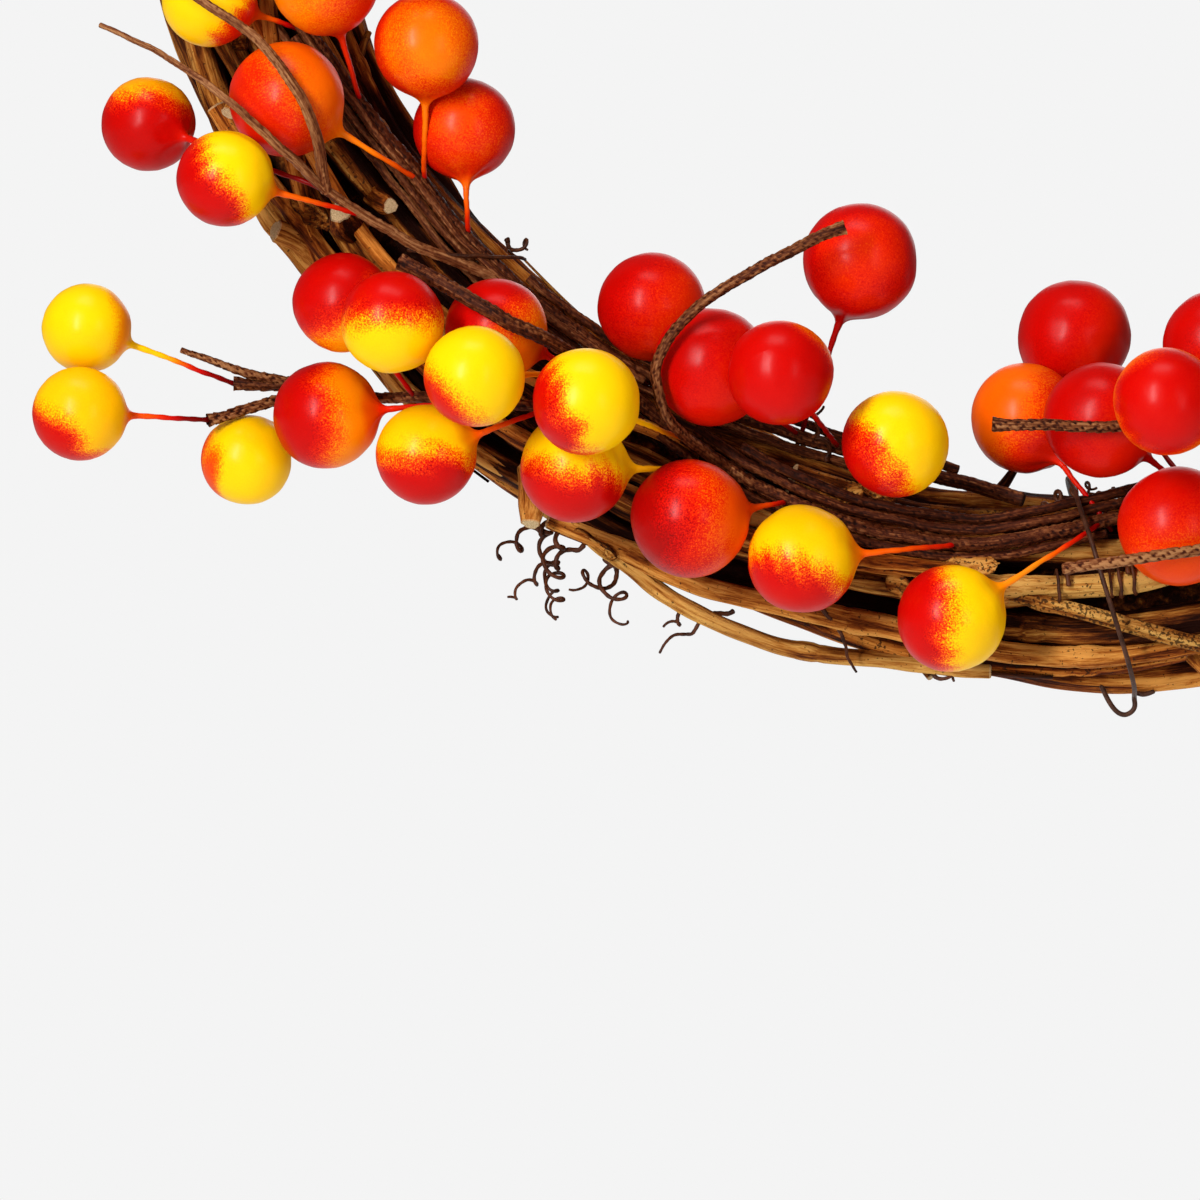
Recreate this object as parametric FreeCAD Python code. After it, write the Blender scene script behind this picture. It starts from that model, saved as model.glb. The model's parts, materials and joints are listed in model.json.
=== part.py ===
"""Harvest door wreath: a ring of wound grapevines with sprays of artificial berries on wired stems.

Frame: millimetres, +Z up, front towards -Y. The origin is where the door's hook bears, at the top of
the inside of the hanger's eye. The ring hangs below it, in a plane parallel to the door.

Points on the ring are given as (angle, offset, height):
  angle   degrees round the ring, from its lowest point, clockwise as seen from the front
  offset  mm outwards from the circle at the middle of the vine bundle
  height  mm in front of that circle's plane
"""
import FreeCAD
import Part
import math
import os
from FreeCAD import Placement, Rotation, Vector

# ---- driving dimensions, mm and degrees
RING_RADIUS = 206.0        # middle of the vine bundle, an 18 inch ring over its vines
RING_DEPTH = 25.0          # the ring's plane is this far in front of the hook point
SPRAY_PITCH = 90.0         # each kind of spray repeats at this angle
SPRAY_SETS = 4

OUTER_VINES = 12
OUTER_VINE_RING = 18.0     # distance of an outer vine's line from the bundle's middle
OUTER_VINE_RADII = (4.4, 3.8, 4.3, 3.6)
CORE_VINES = 5
CORE_VINE_RING = 8.7
CORE_VINE_RADIUS = 4.2
FIRST_CUT_ANGLE = 57.0     # where the first vine's two cut ends are
GOLDEN_ANGLE = 137.5       # cut ends are spread round the ring by this step
CUT_GAPS = (9.0, 14.0, 11.0, 17.0)

STEM_LANE = 26.5           # stems lie on the bundle, this far from its middle
MAIN_STEM_RADIUS = 1.7
TWIG_RADIUS = 1.3
WIRE_RADIUS = 0.6
WIRE_INSERTION = 2.0       # how far a wire is glued into its berry
WIRE_BITE = 0.2            # how far its other end is sunk into the stem's side
NECK_TIP_RADIUS = 0.85
NECK_LATITUDE = 50.0       # where the neck's cone leaves the berry's sphere
CORNER_SHARE = 0.45        # share of the shorter run that a stem's bend takes up

HINGE_GAP = 1.2            # between a stem and the tip that bends on it
BAND_RADIUS = 23.6         # the hanger's band, round the bundle
HANGER_WIRE_RADIUS = 0.8
NECK_RADIUS = 1.5          # the hanger's two wires twisted together
EYE_INNER_RADIUS = 7.0
EYE_ABOVE_RING = 37.8      # eye's middle above the bundle's middle
NECK_FOOT_ANGLE = 50.0     # where the neck leaves the band, back from the top

TIE_RADIUS = 28.8          # a binding wire round the bundle and the stems on its front
TIE_OFFSET = 4.2           # its middle is this far in front of the bundle's
TIE_WIRE_RADIUS = 0.6
TIE_TAIL_RADIUS = 1.0      # its two ends twisted together and bent over
TIE_TAIL_RISE = 2.6
TIE_TAIL_LENGTH = 9.0
TENDRIL_RADIUS = 0.8

EYE_RING_RADIUS = EYE_INNER_RADIUS + HANGER_WIRE_RADIUS
CENTRE_Z = -(RING_RADIUS + EYE_ABOVE_RING + EYE_INNER_RADIUS)
RING_CENTRE = Vector(0, -RING_DEPTH, CENTRE_Z)


def on_bundle(offset):
    """Height of a stem that lies on the front of the bundle at this offset."""
    return math.sqrt(STEM_LANE ** 2 - offset ** 2)


def lane(*stations):
    """(angle, offset) pairs along the front of the bundle, as ring points."""
    return [(angle, offset, on_bundle(offset)) for angle, offset in stations]


# ---- the inner spray: its main stem, then its twigs. All stems run clockwise from their foot.
INNER_STEM = lane((5, -22), (10, -24), (16, -25), (19, -24.7), (22, -24), (28, -22), (34, -19.5), (40, -17.5),
                  (45, -16.5), (50, -15), (55, -15), (62, -12), (68, -8), (74, -3), (80, 3))
INNER_TWIGS = [
    # the long bare twig that rises over the berries and ends outside the ring
    [(45, -16.5, 20.7), (49.8, -9, 26.5), (52.8, -3, 29.5), (55.5, 1, 33), (58, 5, 40), (61.5, 9, 50),
     (64.5, 13, 53), (67.5, 19, 50), (70.3, 27, 44), (72.5, 37, 40)],
    [(58, 5, 40), (61.5, 0, 51), (65, -0.5, 53.5), (69, 4, 52), (73, 16, 49), (76.5, 27, 46)],
]
# each berry: (ring point), radius, stem it hangs on (0 is the main stem), point of that stem, wire's bow
INNER_BERRIES = [
    ((72.1, 11, 33), 11.1, 0, 12, 0.1),
    ((70.7, -16, 38.5), 12.7, 0, 11, 0.1),
    ((63.5, -32, 36), 12.3, 0, 10, 0.25),
    ((56.7, -30, 23), 12.0, 0, 9, 0.3),
    ((64.4, 3, 37), 13.5, 0, 10, 0.3),
    ((66.7, 35, 15), 11.1, 1, 4, 0.2),
    ((61.7, 24, 47), 11.3, 1, 3, 0.2),
    ((36.7, -33.5, 19), 12.7, 0, 5, 0.3),
    ((30.3, -29, 38), 13.7, 0, 4, 0.3),
    ((25.4, -35, 59), 12.3, 0, 3, 0.2),
    ((23.0, -67, 30), 13.5, 0, 4, 0.2),
    ((15.2, -29, 40), 12.5, 0, 2, 0.3),
]

# ---- the outer spray
OUTER_STEM = lane((-18, -21), (-12, -21), (-8, -20), (-1, -17.5), (5, -12), (9, -9), (16, -8), (21, -8.5),
                  (25.5, -10), (29, -11.5), (33, -13.5)) + [
    (37, -13.5, 30), (40, -12.5, 44), (42, -10.5, 49), (44.5, -8, 51), (47.5, -5, 49), (51.6, 0, 42)]
TIP_HINGE = (48.0, 31, 9)
OUTER_TWIGS = [
    # crosses to the outside of the ring, and carries the tip
    [*lane((33, -13.5)), (38, 0, 27.2), (42, 10, 25), (44.8, 19, 17.5), (46.7, 27, 9.7), TIP_HINGE],
    [*lane((-18, -21)), (-13, -29, 32), (-6, -40, 41.5), (-2, -38.7, 48), (8.2, -38, 50)],
    [*lane((-12, -21)), (-12, -14, 36), (-10.5, -10, 48), (-6, -8.5, 53), (2.1, -6, 53)],
    # foot of the free twig
    [*lane((25.5, -10)), (29.5, -11.5, 38), (31, -13, 45.5), (32.3, -16.5, 48)],
]
OUTER_BERRIES = [
    ((47.6, 37, 24), 12.5, 1, 2, 0.2),
    ((51.9, 17, 31.5), 11.6, 1, 3, 0.1),
    ((48.9, 11, 52), 12.0, 1, 2, 0.2),
    ((44.1, -5.5, 35.5), 12.0, 0, 10, 0.1),
    ((42.9, 6, 61), 11.8, 0, 11, 0.1),
    ((42.0, 27, 31), 11.8, 1, 1, 0.3),
    ((36.3, -6, 58), 12.5, 0, 9, 0.2),
    ((34.5, 8, 38), 12.7, 0, 8, 0.3),
    ((26.6, 4.5, 38.5), 13.9, 0, 7, 0.2),
    ((19.0, 3, 38), 12.7, 0, 5, 0.3),
    ((8.9, 8, 38), 12.7, 0, 3, 0.3),
    ((1.2, -61, -8), 13.5, 0, 2, -0.1),
    ((5.2, -41, 8), 13.0, 0, 3, 0.1),
    ((-0.7, -41, 31), 13.5, 0, 2, 0.1),
    ((-5.8, -44, 58), 12.5, 2, 1, 0.1),
    ((-5.9, -15, 36), 13.9, 0, 1, 0.2),
    ((-11.1, -56, 30), 12.3, 0, 0, 0.1),
]

# the bendable tip of the outer spray: two cut twigs with a berry on each cut end, a bare fork, and one berry beside
TIP_TWIGS = [
    [TIP_HINGE, (49.9, 37, 8), (52.2, 49, 8)],
    [(49.0, 34, 8.5), (50.2, 46, 13), (51.5, 59, 18)],
    [(49.9, 37, 8), (52.6, 47, 10.5), (55.2, 54, 13)],
]
TIP_BERRIES = [
    ((58.7, 70, 20), 10.4, 0, 2, 0.1),
    ((55.4, 82, 29), 11.1, 1, 2, 0.1),
    ((48.7, 58, 10), 10.6, 1, 0, -0.05),
]
FREE_TWIG_HINGE = (32.3, -16.5, 48)
FREE_TWIG = [FREE_TWIG_HINGE, (34.0, -22.5, 50.5), (34.3, -32, 52), (32.9, -45, 53), (28.8, -64, 55), (25.8, -72, 54)]

# tendrils, as ring points
TENDRILS = {
    "tangled_tendrils": [(34, 24, 2), (34.5, 30, 4), (33.0, 36, 6), (31.0, 34, 8), (30.3, 28, 10), (31.2, 25.5, 14)],
    "curled_tendrils": [(20.5, 24.2, 3), (22.5, 27, 5), (24.2, 25.5, 8), (25.5, 29, 9), (24.8, 34, 7)],
    "looped_tendrils": [(50.5, -24.5, 6), (48.5, -29, 8), (46.0, -31.5, 6), (44.5, -28, 3), (46.0, -25.2, 0)],
}
# binding wires: angle on the ring, how far each slants across the bundle, and the spray sets that have it.
# The hanger's band is where the third set would have its first one.
TIES = ((-1.0, -16.0, (0, 1, 3)), (75.5, 0.0, (0, 1, 2, 3)))


def ring_point(angle, offset, height):
    """A ring point in the part's frame."""
    a = math.radians(angle)
    radius = RING_RADIUS + offset
    return RING_CENTRE + Vector(-radius * math.sin(a), -height, -radius * math.cos(a))


def outward(angle):
    """Unit vector from the ring's centre towards this angle."""
    a = math.radians(angle)
    return Vector(-math.sin(a), 0, -math.cos(a))


def along(angle):
    """Unit vector round the ring at this angle, clockwise."""
    a = math.radians(angle)
    return Vector(-math.cos(a), 0, math.sin(a))


def disc(centre, normal, radius):
    return Part.Face(Part.Wire(Part.Circle(centre, normal, radius).toShape()))


def rounded_route(points):
    """Straight runs joined by tangent arcs: the wire, and the point of it that is nearest each given point."""
    edges, near, last = [], [points[0]], points[0]
    for before, point, after in zip(points, points[1:], points[2:]):
        back, ahead = before - point, after - point
        reach = CORNER_SHARE * min(back.Length, ahead.Length)
        back.normalize()
        ahead.normalize()
        half = back.getAngle(ahead) / 2
        bisector = (back + ahead).normalize()
        start, end = point + back * reach, point + ahead * reach
        middle = point + bisector * (reach / math.cos(half) - reach * math.tan(half))
        edges += [Part.LineSegment(last, start).toShape(), Part.Arc(start, middle, end).toShape()]
        near.append(middle)
        last = end
    edges.append(Part.LineSegment(last, points[-1]).toShape())
    near.append(points[-1])
    return Part.Wire(edges), near


def tube(points, radius):
    """A round bar along a rounded route, and the route's points."""
    wire, near = rounded_route(points)
    solid = wire.makePipe(disc(points[0], points[1] - points[0], radius))
    return solid, near


def ring_of_wire(centre, normal, radius, wire_radius):
    return Part.makeTorus(radius, wire_radius, centre, normal)


def vine(distance, phase, radius, cut_angle, cut_gap):
    """One vine: an open circle as large as the ring, set off centre by distance and tilted to match, so that it
    winds once round the bundle's middle. It lies furthest out at the ring angle phase."""
    side = outward(phase)
    tilt = math.degrees(math.asin(distance / RING_RADIUS))
    normal = Rotation(side, tilt).multVec(Vector(0, -1, 0))
    centre = RING_CENTRE + side * distance
    start = Rotation(normal, -(cut_angle + cut_gap / 2 - phase)).multVec(side)
    face = disc(centre + start * RING_RADIUS, normal.cross(start), radius)
    return face.revolve(centre, normal, -(360 - cut_gap))


def make_vines():
    parts = {}
    for i in range(OUTER_VINES):
        parts[f"vine_{i + 1:02d}"] = vine(
            OUTER_VINE_RING, i * 360 / OUTER_VINES, OUTER_VINE_RADII[i % len(OUTER_VINE_RADII)],
            FIRST_CUT_ANGLE + i * GOLDEN_ANGLE, CUT_GAPS[i % len(CUT_GAPS)])
    parts["core_vines"] = Part.makeCompound([
        vine(CORE_VINE_RING, i * 360 / CORE_VINES, CORE_VINE_RADIUS, 20 + i * GOLDEN_ANGLE, CUT_GAPS[0])
        for i in range(CORE_VINES)])
    return parts


def berry(centre, neck_direction, radius):
    """A ball that draws out into a cone where its wire enters. Returns it and the middle of the cone's end."""
    latitude = math.radians(NECK_LATITUDE)
    rim_r, rim_z = radius * math.cos(latitude), radius * math.sin(latitude)
    tip_z = rim_z + (rim_r - NECK_TIP_RADIUS) / math.tan(latitude)
    outline = Part.Wire([
        Part.Arc(Vector(0, 0, -radius), Vector(radius, 0, 0), Vector(rim_r, 0, rim_z)).toShape(),
        Part.LineSegment(Vector(rim_r, 0, rim_z), Vector(NECK_TIP_RADIUS, 0, tip_z)).toShape(),
        Part.LineSegment(Vector(NECK_TIP_RADIUS, 0, tip_z), Vector(0, 0, tip_z)).toShape(),
        Part.LineSegment(Vector(0, 0, tip_z), Vector(0, 0, -radius)).toShape()])
    solid = Part.Face(outline).revolve(Vector(0, 0, 0), Vector(0, 0, 1), 360)
    solid.Placement = Placement(centre, Rotation(Vector(0, 0, 1), neck_direction))
    return solid, centre + neck_direction * tip_z


def arc_wire(start, direction, end):
    """A thin wire bent to one arc, which leaves start along direction and ends at end."""
    chord = end - start
    length = chord.Length
    chord.normalize()
    across = direction - chord * direction.dot(chord)
    if across.Length < 1e-3:
        route = Part.LineSegment(start, end)
    else:
        bow = length / 2 * math.tan(direction.getAngle(chord) / 2)
        route = Part.Arc(start, (start + end) / 2 + across.normalize() * bow, end)
    return Part.Wire(route.toShape()).makePipe(disc(start, direction, WIRE_RADIUS))


def berries_and_wires(specs, stem_points, stem_radii):
    """Berries with their wires. Each wire leaves the berry's neck, bows to the front and ends in its stem's side."""
    balls, wires = [], []
    for place, radius, stem, point, bow in specs:
        centre = ring_point(*place)
        target = stem_points[stem][point]
        target += (centre - target).normalize() * (stem_radii[stem] - WIRE_BITE)
        neck_direction = (target - centre).normalize() + Vector(0, -bow, 0)
        neck_direction.normalize()
        ball, tip = berry(centre, neck_direction, radius)
        balls.append(ball)
        wires.append(arc_wire(tip - neck_direction * WIRE_INSERTION, neck_direction, target))
    return Part.makeCompound(balls), Part.makeCompound(wires)


def joined(shapes):
    return shapes[0].multiFuse(shapes[1:]).removeSplitter() if len(shapes) > 1 else shapes[0]


def tubes(routes, radii):
    """Round bars fused at their crossings, and each one's route points."""
    made = [tube([ring_point(*p) for p in route], r) for route, r in zip(routes, radii)]
    return joined([m[0] for m in made]), [m[1] for m in made]


def inner_spray():
    radii = [MAIN_STEM_RADIUS] + [TWIG_RADIUS] * len(INNER_TWIGS)
    stem, points = tubes([INNER_STEM, *INNER_TWIGS], radii)
    balls, wires = berries_and_wires(INNER_BERRIES, points, radii)
    return {"stem": stem, "berries": balls, "wires": wires}


def shortened(route, gap):
    """The route with its first point moved along by gap."""
    first, second = ring_point(*route[0]), ring_point(*route[1])
    return [first + (second - first).normalize() * gap] + [ring_point(*p) for p in route[1:]]


def outer_spray():
    radii = [MAIN_STEM_RADIUS] + [TWIG_RADIUS] * len(OUTER_TWIGS)
    stem, points = tubes([OUTER_STEM, *OUTER_TWIGS], radii)
    balls, wires = berries_and_wires(OUTER_BERRIES, points, radii)
    tip_first, first_points = tube(shortened(TIP_TWIGS[0], HINGE_GAP), TWIG_RADIUS)
    tip_rest = [tube([ring_point(*p) for p in route], TWIG_RADIUS) for route in TIP_TWIGS[1:]]
    tip_balls, tip_wires = berries_and_wires(TIP_BERRIES, [first_points, tip_rest[0][1]], [TWIG_RADIUS] * 2)
    free_twig, _ = tube(shortened(FREE_TWIG, HINGE_GAP), TWIG_RADIUS)
    return {"stem": stem, "berries": balls, "wires": wires,
            "tip_twig": joined([tip_first] + [t[0] for t in tip_rest]),
            "tip_berries": tip_balls, "tip_wires": tip_wires, "free_twig": free_twig}


def turned(shape, turn):
    """A copy of the shape, turned clockwise about the ring's axis."""
    copy = shape.copy()
    copy.rotate(RING_CENTRE, Vector(0, 1, 0), turn)
    return copy


def repeated(shape):
    return Part.makeCompound([turned(shape, k * SPRAY_PITCH) for k in range(SPRAY_SETS)])


def make_sprays():
    parts = {}
    for kind, pieces in (("inner_spray", inner_spray()), ("outer_spray", outer_spray())):
        for k in range(SPRAY_SETS):
            for piece, shape in pieces.items():
                parts[f"{kind}_{k + 1}_{piece}"] = turned(shape, k * SPRAY_PITCH)
    return parts


def make_ties():
    """Binding wires round the bundle and its stems, each with a tail where its ends are twisted together."""
    ties = []
    for angle, slant, sets in TIES:
        centre = ring_point(angle, 0, TIE_OFFSET)
        normal = Rotation(Vector(0, 1, 0), slant).multVec(along(angle))
        radial = normal.cross(Vector(0, 1, 0)).normalize()
        if radial.dot(outward(angle)) < 0:
            radial = radial * -1
        foot = centre + radial * TIE_RADIUS
        rise = foot + radial * TIE_TAIL_RISE
        tail, _ = tube([foot, rise, rise + normal * TIE_TAIL_LENGTH - radial], TIE_TAIL_RADIUS)
        tie = joined([ring_of_wire(centre, normal, TIE_RADIUS, TIE_WIRE_RADIUS), tail])
        ties += [turned(tie, k * SPRAY_PITCH) for k in sets]
    return Part.makeCompound(ties)


def make_hanger():
    """Twisted wire: a band that turns on the bundle at the top of the ring, and an eye for the hook behind it."""
    bundle = RING_CENTRE + Vector(0, 0, RING_RADIUS)
    lean = math.radians(NECK_FOOT_ANGLE)
    foot = bundle + Vector(0, math.sin(lean), math.cos(lean)) * BAND_RADIUS
    eye_centre = Vector(0, 0, -EYE_INNER_RADIUS)
    eye_bottom = eye_centre - Vector(0, 0, EYE_RING_RADIUS)
    neck = Part.makeCylinder(NECK_RADIUS, (eye_bottom - foot).Length, foot, eye_bottom - foot)
    return joined([ring_of_wire(bundle, Vector(1, 0, 0), BAND_RADIUS, HANGER_WIRE_RADIUS), neck,
                   ring_of_wire(eye_centre, Vector(0, 1, 0), EYE_RING_RADIUS, HANGER_WIRE_RADIUS)])


def make_tendrils():
    return {name: repeated(tube([ring_point(*p) for p in route], TENDRIL_RADIUS)[0])
            for name, route in TENDRILS.items()}


def build():
    parts = make_vines()
    parts.update(make_sprays())
    parts.update(make_tendrils())
    parts["binding_wires"] = make_ties()
    parts["hanger"] = make_hanger()
    return parts


def main():
    os.makedirs("parts", exist_ok=True)
    for name, shape in build().items():
        shape.exportStep(f"parts/{name}.step")


if __name__ == "__main__":
    main()
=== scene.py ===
"""Harvest door wreath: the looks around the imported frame. Metres, front towards -Y, +Z up.

Points on the ring are (angle, offset, height) as in the part's source: degrees clockwise from the lowest
point as seen from the front, mm outwards from the bundle's middle, and mm in front of it.
"""
import json
import math
from collections import namedtuple

import bpy
import numpy as np
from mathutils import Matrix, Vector


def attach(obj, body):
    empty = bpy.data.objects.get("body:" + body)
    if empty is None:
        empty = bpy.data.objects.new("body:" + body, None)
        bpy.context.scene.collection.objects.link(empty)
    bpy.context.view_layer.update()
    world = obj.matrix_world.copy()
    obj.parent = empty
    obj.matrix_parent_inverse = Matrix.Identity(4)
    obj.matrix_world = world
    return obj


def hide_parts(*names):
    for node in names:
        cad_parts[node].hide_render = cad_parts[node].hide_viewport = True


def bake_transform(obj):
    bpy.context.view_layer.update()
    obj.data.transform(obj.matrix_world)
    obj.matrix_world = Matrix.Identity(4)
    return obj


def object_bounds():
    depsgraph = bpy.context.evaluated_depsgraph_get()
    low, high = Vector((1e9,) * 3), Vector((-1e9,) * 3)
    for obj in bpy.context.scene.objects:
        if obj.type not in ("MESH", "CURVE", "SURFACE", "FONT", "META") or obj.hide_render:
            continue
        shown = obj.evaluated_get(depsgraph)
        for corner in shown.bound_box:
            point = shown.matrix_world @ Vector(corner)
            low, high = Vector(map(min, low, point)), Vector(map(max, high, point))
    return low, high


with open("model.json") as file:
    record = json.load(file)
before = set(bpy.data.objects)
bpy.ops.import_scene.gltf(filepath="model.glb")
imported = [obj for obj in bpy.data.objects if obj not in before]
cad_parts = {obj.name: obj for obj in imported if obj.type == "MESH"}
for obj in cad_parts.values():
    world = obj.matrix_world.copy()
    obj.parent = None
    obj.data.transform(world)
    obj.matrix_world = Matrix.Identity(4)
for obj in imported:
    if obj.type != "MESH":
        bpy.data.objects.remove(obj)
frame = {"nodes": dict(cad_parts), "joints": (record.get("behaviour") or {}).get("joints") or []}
cad_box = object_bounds()

MM = 0.001
RING_RADIUS = 206 * MM
STEM_LANE = 26.5                 # mm from the bundle's middle to the stems that lie on it
BUNDLE_SURFACE = 21.6 * MM
# painted shade: vines are painted darker the deeper they lie under the bundle's surface, darkest at this depth
FULL_SHADE_DEPTH = 4.4 * MM          # below this under the surface a vine is as dark as it gets
SPRAY_SETS = 4
SPRAY_PITCH = 90.0               # degrees
FRONT = np.array((0, -1.0, 0))
ANY_SIDE = (0.31, -0.9, 0.2)     # where a curve's first normal points, if nothing else says
# how far each kind of line strays from its route, and over what length
WANDER = {"vine": (2.4 * MM, 0.19), "loose_vine": (0.9 * MM, 0.12), "paper": (0.25 * MM, 0.03),
          "berry_wire": (0.12 * MM, 0.02), "tendril": (0.2 * MM, 0.012), "tie": (0.15 * MM, 0.05)}
swing = next(j for j in frame["joints"] if j["name"] == "ring_swing")
CENTRE = np.array(swing["pos_m"], float) - (0, 0, RING_RADIUS)


# -------- places
def outward(angle):
    a = math.radians(angle)
    return np.array((-math.sin(a), 0, -math.cos(a)))


def along(angle):
    a = math.radians(angle)
    return np.array((-math.cos(a), 0, math.sin(a)))


def ring_point(angle, offset, height):
    return CENTRE + outward(angle) * (RING_RADIUS + offset * MM) + FRONT * height * MM


def direction_at(angle, parts):
    """A unit direction from its (round, out, forward) parts at an angle of the ring."""
    return unit(along(angle) * parts[0] + outward(angle) * parts[1] + FRONT * parts[2])


def lane(*stations):
    return [(angle, offset, math.sqrt(STEM_LANE ** 2 - offset ** 2)) for angle, offset in stations]


def turned(points, k):
    """Points turned clockwise about the ring's axis by k spray pitches."""
    a = math.radians(k * SPRAY_PITCH)
    c, s = math.cos(a), math.sin(a)
    p = np.asarray(points, float) - CENTRE
    out = p.copy()
    out[..., 0] = p[..., 0] * c + p[..., 2] * s
    out[..., 2] = -p[..., 0] * s + p[..., 2] * c
    return out + CENTRE


def ring_angle(p):
    """Angle on the ring of each point, in degrees from 0 to 360."""
    d = p - CENTRE
    return np.degrees(np.arctan2(-d[..., 0], -d[..., 2])) % 360


def bundle_middle(p):
    """For each point, the nearest one on the bundle's middle circle."""
    flat = (p - CENTRE) * (1, 0, 1)
    return CENTRE + flat / np.linalg.norm(flat, axis=-1, keepdims=True) * RING_RADIUS


def off_bundle(p):
    """The direction straight off the bundle at a point."""
    return unit(p - bundle_middle(p))


def painted_bundle_shade(points):
    """How much painted shade a point takes: 0 at the bundle's surface and outside it, rising to 1 at full depth.
    """
    d = points - CENTRE
    away = np.hypot(np.hypot(d[..., 0], d[..., 2]) - RING_RADIUS, d[..., 1])
    return np.clip((BUNDLE_SURFACE - away) / FULL_SHADE_DEPTH, 0, 1)


def unit(v):
    return v / np.linalg.norm(v)


def phase(rng):
    """A random phase, nearly anywhere in a turn."""
    return rng.uniform(0, 6.28)


def full_turn(count):
    return np.linspace(0, 2 * math.pi, count, endpoint=False)


# -------- curves
def smooth_route(points, step):
    """A smooth curve through the middle of each run, rounding each corner, with points step apart."""
    p = np.asarray(points, float)
    ends = [p[0]] + [(a + b) / 2 for a, b in zip(p[1:-2], p[2:-1])] + [p[-1]]
    fine = [p[0]]
    for start, corner, end in zip(ends, p[1:-1], ends[1:]):
        t = np.linspace(0, 1, 41)[1:, None]
        fine += list((1 - t) ** 2 * start + 2 * t * (1 - t) * corner + t ** 2 * end)
    return evenly(np.array(fine), step)


def ring_route(route, step, k):
    """The smooth curve along a route of points on the ring, for the spray set k."""
    return turned(smooth_route([ring_point(*q) for q in route], step), k)


def arc_lengths(p):
    return np.concatenate(([0], np.cumsum(np.linalg.norm(np.diff(p, axis=0), axis=1))))


def evenly(p, step):
    s = arc_lengths(p)
    at = np.linspace(0, s[-1], max(3, int(round(s[-1] / step)) + 1))
    return np.stack([np.interp(at, s, p[:, i]) for i in range(3)], 1)


def frames(p, first=ANY_SIDE):
    """Tangents and two normals along a curve, with no twist."""
    t = np.gradient(p, axis=0)
    t /= np.linalg.norm(t, axis=1)[:, None]
    n = np.array(first, float)
    normals = np.empty_like(p)
    for i in range(len(p)):
        n = n - t[i] * n.dot(t[i])
        n /= np.linalg.norm(n)
        normals[i] = n
    return t, normals, np.cross(t, normals)


def wander(p, rng, kind):
    """A smooth sideways drift of a curve, of a kind that WANDER names."""
    size, period = WANDER[kind]
    s = arc_lengths(p)
    _, n, b = frames(p)
    drift = 0
    for k in range(4):
        w = 2 * math.pi / (period / (1 + 0.7 * k))
        turn = rng.uniform(0, 2 * math.pi, 2)
        sway = n * np.sin(w * s + turn[0])[:, None] + b * np.sin(w * s * 1.13 + turn[1])[:, None]
        drift = drift + sway / (1 + k)
    return p + drift * size * 0.55


# -------- meshes
def place_object(name, data):
    obj = bpy.data.objects.new(name, data)
    bpy.context.scene.collection.objects.link(obj)
    return obj


class Sculpt:
    """Collects swept and turned shapes into one mesh, with their surface attributes."""
    def __init__(self):
        self.verts, self.faces, self.count = [], [], 0
        self.values = {name: [] for name in ("grain", "tone", "cut", "hue", "speckle")}

    def add(self, verts, faces, grain=None, tone=0.5, cut=0.0, hue=0.0, speckle=0.0):
        self.verts.append(verts)
        self.faces += [tuple(int(i) + self.count for i in face) for face in faces]
        self.values["grain"].append(np.asarray(verts if grain is None else grain, float))
        for name, v in (("tone", tone), ("cut", cut), ("hue", hue), ("speckle", speckle)):
            self.values[name].append(np.broadcast_to(np.asarray(v, float), (len(verts),)))
        self.count += len(verts)

    def grid(self, rows, grain=None, **values):
        """Faces between closed rows of points: rows is (n, m, 3). Values are (n, m) or numbers."""
        n, m = rows.shape[:2]
        i, j = np.meshgrid(np.arange(n - 1), np.arange(m), indexing="ij")
        k = (j + 1) % m
        faces = np.stack([i * m + j, i * m + k, (i + 1) * m + k, (i + 1) * m + j], -1).reshape(-1, 4)
        flat = {name: np.broadcast_to(v, (n, m)).reshape(-1) for name, v in values.items()}
        self.add(rows.reshape(-1, 3), faces, None if grain is None else grain.reshape(-1, 3), **flat)

    def cap(self, ring, centre, outwards, grain=None, **values):
        """A fan that closes a ring of points."""
        m = len(ring)
        order = [(j, (j + 1) % m, m) if outwards else ((j + 1) % m, j, m) for j in range(m)]
        grain = None if grain is None else np.vstack([grain, grain.mean(0)])
        self.add(np.vstack([ring, centre]), order, grain, **values)

    def build(self, name, material, body, slot, replaces=None, bend=None):
        """The piece, riding on its body, or left in place on no body when bend is given.
        bend is (other body, start, end), of which only its presence is read.
        """
        mesh = bpy.data.meshes.new(name)
        mesh.from_pydata(np.vstack(self.verts).tolist(), [], self.faces)
        for key, blocks in self.values.items():
            kind, field = ("FLOAT_VECTOR", "vector") if key == "grain" else ("FLOAT", "value")
            data = np.concatenate(blocks).astype(np.float32).reshape(-1)
            mesh.attributes.new(key, kind, "POINT").data.foreach_set(field, data)
        mesh.polygons.foreach_set("use_smooth", [True] * len(mesh.polygons))
        mesh.materials.append(material)
        mesh.update()
        obj = place_object(name, mesh)
        if bend is None:
            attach(obj, body)
        else:
            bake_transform(obj)
        if replaces is not None:
            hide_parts(replaces)


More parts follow.
